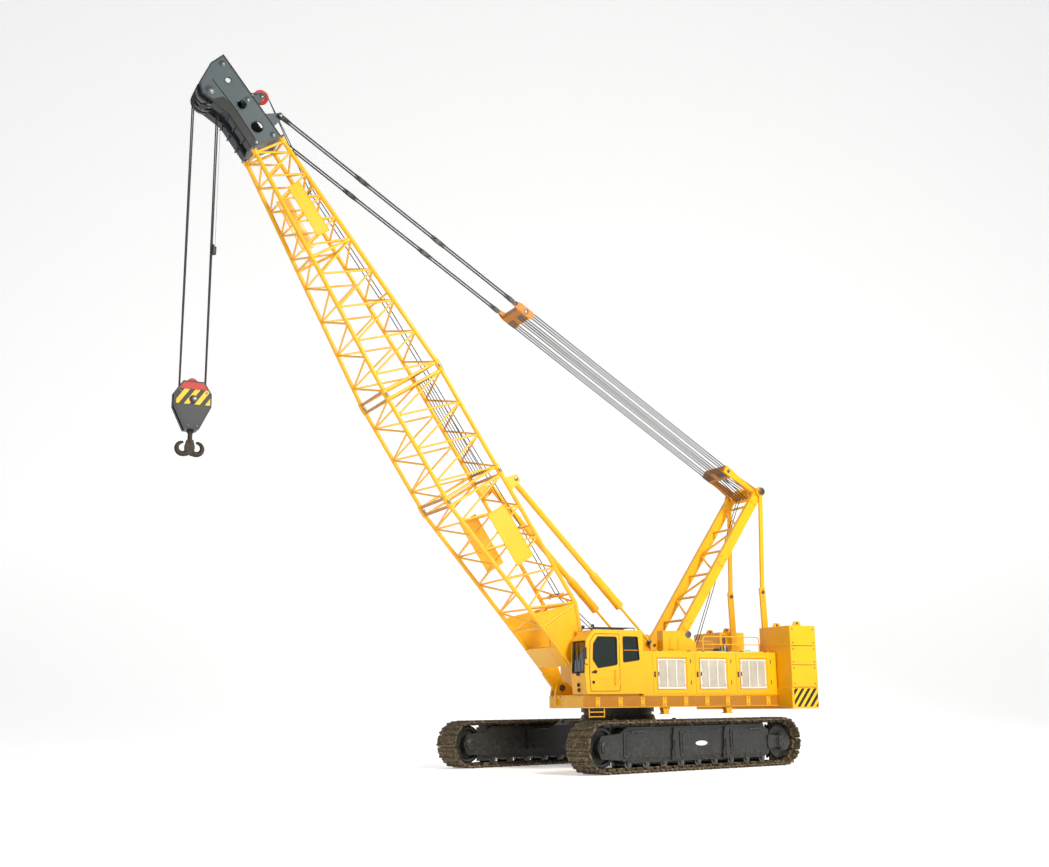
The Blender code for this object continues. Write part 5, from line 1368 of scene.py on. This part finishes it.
def build_hoist():
    """Rope from the front drum through the boom to the head, and the falls down to the block."""
    P = FRAME["places"]
    for y in (0.05, -0.16):
        way = [(x, HALF + 0.13) for x in FOOT_ROLLERS]
        way += [(x, at(TIP_ST, x)[3] + up) for x, up in zip(TIP_ROLLERS, (0.125, 0.12))]
        way += [(GUIDE_S + (GUIDE_R - ROPE_R) * math.sin(t), GUIDE_N + (GUIDE_R - ROPE_R) * math.cos(t))
                for t in np.linspace(-0.1, 2.2, 9)]
        pts = [(P["boom"] @ np.array((x, y if x < S_TIP else 0.0, n, 1.0)))[:3] for x, n in way]
        s = Solid(np.eye(4))
        s.tube(pts, ROPE_R * 0.9, 8)
        s.make(f"hoist_rope_on_boom_{'a' if y > 0 else 'b'}", [ROPE], "boom")
        drum_x, drum_z = DRUMS[0][1:3]
        a = (P["super"] @ np.array((drum_x - 0.17, y, drum_z + 0.23, 1.0)))[:3]
        s = Solid(np.eye(4))
        k = np.linspace(0, 1, 60)[:, None]
        s.tube(a + (pts[0] - a) * k, ROPE_R * 0.9, 8)
        s.make(f"hoist_lead_rope_{'a' if y > 0 else 'b'}", [ROPE],
               ("superstructure", "boom", tuple(a), tuple(pts[0])))
    # two loops: each round a head sheave, down both sides and under a block sheave
    s = Solid("falls")
    r = SHEAVE_R - 0.03 + ROPE_R + 0.0021
    zb = BLOCK_PIN - P["head_z"]
    down = np.linspace(0, zb, 80)[1:-1]
    up = [(r * math.cos(t), 0, r * math.sin(t)) for t in np.linspace(math.pi, 0, 25)]
    low = [(r * math.cos(t), 0, zb + r * math.sin(t)) for t in np.linspace(0, -math.pi, 25)]
    loop = np.array(up + [(r, 0, z) for z in down] + low + [(-r, 0, z) for z in down[::-1]])
    for e in (-1, 1):
        lean = 0.036 + (0.11 - 0.036) * np.clip(1 - loop[:, 2] / zb, 0, 1)
        s.tube(np.stack([loop[:, 0], e * lean, loop[:, 2]], 1), ROPE_R * 1.2, 8, closed=True)
    x = P["falls"][0, 3]
    s.make("hoist_falls", [ROPE],
           ("falls", "hook_block", (x, 0, P["head_z"] - 0.35), (x, 0, BLOCK_PIN + 0.35)),
           stands_for="hoist_ropes")


def build_block():
    """Hook block: rimmed cheeks with a hazard band and red shoulders, sheave, trunnion and ramshorn hook."""
    P = FRAME["places"]
    bt, bz, bb = 8.95 - P["head_z"], BLOCK_PIN - P["head_z"], BLOCK_BOT - P["head_z"]
    cheek = [(-0.24, bt), (-0.42, bt - 0.28), (-0.42, bz - 0.16), (-0.16, bb), (0.16, bb), (0.42, bz - 0.16),
             (0.42, bt - 0.28), (0.24, bt)]
    s = Solid("falls")
    for e in (-1, 1):
        y = e * 0.19
        y0, y1 = y - e * 0.001, y + e * 0.010
        band(s, fillet(inset(cheek, 0.004), 0.04), 0.030, y0, y1, 0)
        s.prism([(-0.34, bt - 0.19), (0.34, bt - 0.19), (0.22, bt - 0.012), (-0.22, bt - 0.012)],
                y - e * 0.001, y + e * 0.006, 1)
        s.prism([(-0.405, bz - 0.12), (0.405, bz - 0.12), (0.405, bt - 0.29), (0.34, bt - 0.20),
                 (-0.34, bt - 0.20), (-0.405, bt - 0.29)], y - e * 0.001, y + e * 0.005, 2)
        s.disc((0, y, bz), (0, e, 0), 0.09, 0.03, mat=0)
        s.disc((0, y + e * 0.028, bz), (0, e, 0), 0.05, 0.015, mat=3)
        for x, z in ((-0.30, bt - 0.26), (0.30, bt - 0.26), (-0.10, bb + 0.07), (0.10, bb + 0.07)):
            s.bolt((x, y + e * 0.008, z), (0, e, 0), 0.018, 0.02, 3)
    for x, z in ((-0.22, bt - 0.05), (0.22, bt - 0.05), (-0.30, bz - 0.25), (0.30, bz - 0.25)):
        s.turned((x, -0.078, z), (0, 1, 0), [(0.022, 0), (0.022, 0.156)], 16, 3)
    s.prism(arc(0, bt - 0.03, 0.14, 0, 180, 17), -0.012, 0.012, 1)
    s.make("hook_block_fittings", [GRAPHITE, RED, BLOCK_BANDS, PIN_STEEL], "hook_block", bevel=0.003)
    s = Solid("falls")
    for y in (-0.036, 0.036):
        wheel(s, (0, y, bz), (0, 1, 0), SHEAVE_R, 0.062, (0, 1), 56, 0.10)
    s.turned((0, -0.20, bz), (0, 1, 0), [(0.04, 0), (0.04, 0.40)], 28, 0)
    s.make("block_sheave_wheel", [PIN_STEEL, RED], "block_sheave", stands_for="block_sheave")
    # ramshorn hook: shank with nut collar; each horn a tapering bar bent round a circle
    s = Solid("falls")
    top = bb - 0.002
    shank = [(0.085, 0), (0.085, 0.05), (0.060, 0.06), (0.054, 0.10), (0.054, 0.22), (0.066, 0.30)]
    s.turned((0, 0, top), (0, 0, -1), shank, 32, 0)
    for e in (1, -1):
        t = -math.pi / 2 + e * np.linspace(-0.75, 3.02, 40)
        k = np.linspace(0, 1, 40)
        path = np.stack([e * 0.155 + 0.135 * np.cos(t), 0 * t, bb - 0.42 + 0.135 * np.sin(t)], 1)
        s.tube(path, 0.064 - 0.030 * k ** 2, 20)
        s.turned(path[-1], path[-1] - path[-2], [(0.034, -0.004), (0.030, 0.016), (0.014, 0.030)], 20)
    s.prism(fillet([(-0.075, bb - 0.22), (0.075, bb - 0.22), (0.115, bb - 0.38), (0.10, bb - 0.585),
                    (0.045, bb - 0.60),
                    (0.0, bb - 0.565), (-0.045, bb - 0.60), (-0.10, bb - 0.585), (-0.115, bb - 0.38)],
                   0.03), -0.048, 0.048)
    s.make("ramshorn_hook", [IRON, PIN_STEEL], "hook", bevel=0.012, stands_for="hook")
    # limit weight hung on a wire beside the rear fall
    s = Solid("falls")
    zt = -0.75
    zw = 12.25 - P["head_z"]
    s.bar((-0.36, 0.10, zt), (-0.36, 0.10, zw), 0.004, 6)
    s.turned((-0.33, 0.06, zw - 0.12), (0, 0, 1), [(0.05, 0), (0.075, 0.015), (0.075, 0.19), (0.05, 0.21),
                                                   (0.02, 0.22),
                                                 (0.02, 0.26)], 24)
    s.make("hoist_limit_weight", [BLACK_AND_SHADE], "falls")
    s = Solid("boom")
    s.prism(fillet(rect(16.98, -0.82, 17.10, -1.02), 0.02), 0.18, 0.26)
    s.beam((17.04, 0.22, -0.90), (17.04, HEAD_Y, -0.78), 0.04, 0.012)
    s.make("hoist_limit_switch", [BLACK_AND_SHADE], "boom", bevel=0.004)


# ------------------------------------------------------------------ CAD nodes kept in view
def dress_cad():
    """Finer materials on the CAD nodes that stay in view."""
    table = {
        YELLOW: ("platform", "left_house", "right_house", "left_counterweight", "right_counterweight",
            "counterweight_tray", "gantry_mast", "left_tension_leg", "right_tension_leg", "cab_shell",
                 "cab_door",
            "left_backstop_tube", "right_backstop_tube"),
        CHARCOAL: ("carbody", "slew_ring_upper", "engine_block", "cab_console"),
        SLATE: ("boom_head",),
        GRAPHITE: ("hook_block",),
        OCHRE: ("floating_bridle", "luffing_spreader"),
        GLASS: ("windshield", "cab_rear_side_glass", "cab_door_glass"),
        BLACK_AND_SHADE: ("front_winch_drum", "rear_winch_drum", "luff_winch_drum"),
    }
    for mat, names in table.items():
        for name in names:
            ob = FRAME["nodes"][name]
            ob.data.materials.clear()
            ob.data.materials.append(MATS[mat])


def build_stage(p):
    """Pale floor and wall in one sweep, three soft lights and the camera."""
    sc = bpy.context.scene
    sc.view_settings.view_transform = "Standard"
    a = np.radians(np.linspace(-90, 0, 9))
    prof = [(-60.0, 0.0), (30.0, 0.0)] + [(30 + 12 * math.cos(t),
                                           12 + 12 * math.sin(t)) for t in a] + [(42.0, 60.0)]
    yaw = math.radians(p.view_yaw)
    fwd, side = np.array((math.cos(yaw), math.sin(yaw))), np.array((-math.sin(yaw), math.cos(yaw)))
    rows = [[(*(fwd * d + side * w), z - 0.002) for d, z in prof] for w in (-110.0, 110.0)]
    v = [q for r in rows for q in r]
    n = len(prof)
    me = bpy.data.meshes.new("backdrop")
    me.from_pydata(v, [], [(k, k + 1, n + k + 1, n + k) for k in range(n - 1)])
    me.polygons.foreach_set("use_smooth", [True] * len(me.polygons))
    m = bpy.data.materials.new("pale studio paper")
    m.use_nodes = True
    b = m.node_tree.nodes["Principled BSDF"]
    b.inputs["Base Color"].default_value = rgb("#F1F2F3")
    b.inputs["Roughness"].default_value = 0.9
    b.inputs["Emission Color"].default_value = rgb("#FFFFFF")
    b.inputs["Emission Strength"].default_value = 0.34
    me.materials.append(m)
    floor = bpy.data.objects.new("backdrop", me)
    sc.collection.objects.link(floor)
    for name, loc, size, power, tint in (
            ("key light", (-7.0, 27.0, 19.0), 9.0, p.key, "#FFF8EE"),
            ("fill light", (24.0, 16.0, 12.0), 24.0, p.key * 0.06, "#F2F6FF"),
            ("rim light", (-28.0, -10.0, 24.0), 14.0, p.key * 0.35, "#FFFFFF")):
        li = bpy.data.lights.new(name, "AREA")
        li.shape, li.size, li.energy = "DISK", size, power
        li.color = rgb(tint)[:3]
        ob = bpy.data.objects.new(name, li)
        ob.location = loc
        d = Vector((1.0, 0.0, 6.5)) - Vector(loc)
        ob.rotation_euler = d.to_track_quat("-Z", "Y").to_euler()
        sc.collection.objects.link(ob)
    w = bpy.data.worlds.new("studio")
    w.use_nodes = True
    bg = w.node_tree.nodes["Background"]
    bg.inputs["Color"].default_value = rgb("#FFFFFF")
    bg.inputs["Strength"].default_value = p.sky
    sc.world = w
    # camera: worked out from its place, heading, pitch and roll about the crane's own slew axis
    yaw, pitch, roll = math.radians(p.view_yaw), math.radians(p.view_pitch), math.radians(p.view_roll)
    d = np.array((math.cos(yaw) * math.cos(pitch), math.sin(yaw) * math.cos(pitch), math.sin(pitch)))
    r = np.array((math.sin(yaw), -math.cos(yaw), 0.0))
    u = np.cross(r, d)
    r2, u2 = r * math.cos(roll) + u * math.sin(roll), u * math.cos(roll) - r * math.sin(roll)
    cam = bpy.data.cameras.new("view")
    cam.sensor_width, cam.lens = 36.0, p.lens
    cam.clip_end = 400.0
    ob = bpy.data.objects.new("view", cam)
    m4 = np.eye(4)
    m4[:3, 0], m4[:3, 1], m4[:3, 2] = r2, u2, -d
    m4[:3, 3] = FRAME["places"]["super"][:3, 3] + np.array(p.view_from)
    ob.matrix_world = Matrix(m4.tolist())
    sc.collection.objects.link(ob)
    sc.camera = ob


# ------------------------------------------------------------------ settings, operators, panel
class CraneFinish(bpy.types.PropertyGroup):
    paint: bpy.props.StringProperty(name="Paint", description="sRGB colour of the yellow enamel",
                                    default="#F4B200")
    dust: bpy.props.FloatProperty(name="Dust", description="Share of the usual dust on painted steel",
                                  default=1.0,
                                  min=0.0, max=2.0, subtype="FACTOR")


class CraneParts(bpy.types.PropertyGroup):
    shoes: bpy.props.IntProperty(name="Shoes", description="Shoes on each track", default=52, min=30, max=80)
    rollers: bpy.props.IntProperty(name="Rollers", description="Lower rollers in each track frame",
                                   default=9, min=4,
                                   max=14)
    slats: bpy.props.IntProperty(name="Slats", description="Slats in each louvred panel", default=24, min=4,
                                 max=40)


class CraneStage(bpy.types.PropertyGroup):
    key: bpy.props.FloatProperty(name="Key light", description="Power of the main lamp", default=9500.0,
                                 unit="POWER")
    sky: bpy.props.FloatProperty(name="Sky", description="Strength of the even light", default=0.40)
    lens: bpy.props.FloatProperty(name="Lens", description="Focal length", default=42.91,
                                  subtype="DISTANCE_CAMERA")
    view_from: bpy.props.FloatVectorProperty(name="From",
                                             description="Camera place from the slew axis on the ground",
                                             default=(16.902, 28.554, 1.499), size=3, subtype="TRANSLATION",
                                             unit="LENGTH")
    view_yaw: bpy.props.FloatProperty(name="Heading", description="Heading in degrees from +X",
                                      default=243.383)
    view_pitch: bpy.props.FloatProperty(name="Pitch", description="Upward pitch in degrees", default=12.363)
    view_roll: bpy.props.FloatProperty(name="Roll", description="Roll in degrees", default=-0.684)


class CRANE_OT_materials(bpy.types.Operator):
    """Make the paints, steels, rope, glass and rubber"""
    bl_idname = "crane.materials"
    bl_label = "Materials"

    def execute(self, context):
        make_materials(context.scene.crane_finish)
        dress_cad()
        return {"FINISHED"}


class CRANE_OT_undercarriage(bpy.types.Operator):
    """Shoes, side frames, rollers, wheels and carbody fittings"""
    bl_idname = "crane.undercarriage"
    bl_label = "Undercarriage"

    def execute(self, context):
        p = context.scene.crane_parts
        build_tracks(p)
        build_side_frames(p)
        build_carbody()
        return {"FINISHED"}


class CRANE_OT_superstructure(bpy.types.Operator):
    """Grilles, house doors, rails, counterweight plates and winches"""
    bl_idname = "crane.superstructure"
    bl_label = "Superstructure"

    def execute(self, context):
        p = context.scene.crane_parts
        build_grilles(p)
        build_house_fittings()
        build_counterweight()
        build_winches()
        return {"FINISHED"}


class CRANE_OT_cab(bpy.types.Operator):
    """Cab seals, guard, lamps, mirror, seat and controls"""
    bl_idname = "crane.cab"
    bl_label = "Cab"

    def execute(self, context):
        build_cab()
        return {"FINISHED"}


class CRANE_OT_gantry(bpy.types.Operator):
    """Gantry fittings, luffing line, pendants and backstops"""
    bl_idname = "crane.gantry"
    bl_label = "Gantry and luffing line"

    def execute(self, context):
        build_gantry()
        build_luffing()
        build_backstops()
        return {"FINISHED"}


class CRANE_OT_boom(bpy.types.Operator):
    """Lattice sections, boards and boom head"""
    bl_idname = "crane.boom"
    bl_label = "Boom"

    def execute(self, context):
        build_boom()
        build_head()
        return {"FINISHED"}


class CRANE_OT_hoist(bpy.types.Operator):
    """Hoist ropes, hook block and hook"""
    bl_idname = "crane.hoist"
    bl_label = "Hoist"

    def execute(self, context):
        build_hoist()
        build_block()
        return {"FINISHED"}


class CRANE_OT_stage(bpy.types.Operator):
    """Backdrop, lights, world and camera"""
    bl_idname = "crane.stage"
    bl_label = "Stage"

    def execute(self, context):
        build_stage(context.scene.crane_stage)
        return {"FINISHED"}


STEPS = (CRANE_OT_materials, CRANE_OT_undercarriage, CRANE_OT_superstructure, CRANE_OT_cab, CRANE_OT_gantry,
         CRANE_OT_boom, CRANE_OT_hoist, CRANE_OT_stage)


class CRANE_PT_panel(bpy.types.Panel):
    """Settings and one button for each group of pieces"""
    bl_idname = "CRANE_PT_panel"
    bl_label = "Crawler crane"
    bl_space_type = "VIEW_3D"
    bl_region_type = "UI"
    bl_category = "Crane"

    def draw(self, context):
        for group in (context.scene.crane_finish, context.scene.crane_parts, context.scene.crane_stage):
            for key in group.__annotations__:
                self.layout.prop(group, key)
        for op in STEPS:
            self.layout.operator(op.bl_idname)


CLASSES = (CraneFinish, CraneParts, CraneStage) + STEPS + (CRANE_PT_panel,)


def register():
    for c in CLASSES:
        bpy.utils.register_class(c)
    bpy.types.Scene.crane_finish = bpy.props.PointerProperty(type=CraneFinish)
    bpy.types.Scene.crane_parts = bpy.props.PointerProperty(type=CraneParts)
    bpy.types.Scene.crane_stage = bpy.props.PointerProperty(type=CraneStage)


def unregister():
    del bpy.types.Scene.crane_finish, bpy.types.Scene.crane_parts, bpy.types.Scene.crane_stage
    for c in reversed(CLASSES):
        bpy.utils.unregister_class(c)


def main():
    for ob in list(bpy.data.objects):
        bpy.data.objects.remove(ob)
    FRAME.update(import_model())
    FRAME["places"] = places()
    register()
    bpy.ops.crane.materials()
    bpy.ops.crane.undercarriage()
    bpy.ops.crane.superstructure()
    bpy.ops.crane.cab()
    bpy.ops.crane.gantry()
    bpy.ops.crane.boom()
    bpy.ops.crane.hoist()
    bpy.ops.crane.stage()


if __name__ == "__main__":
    main()
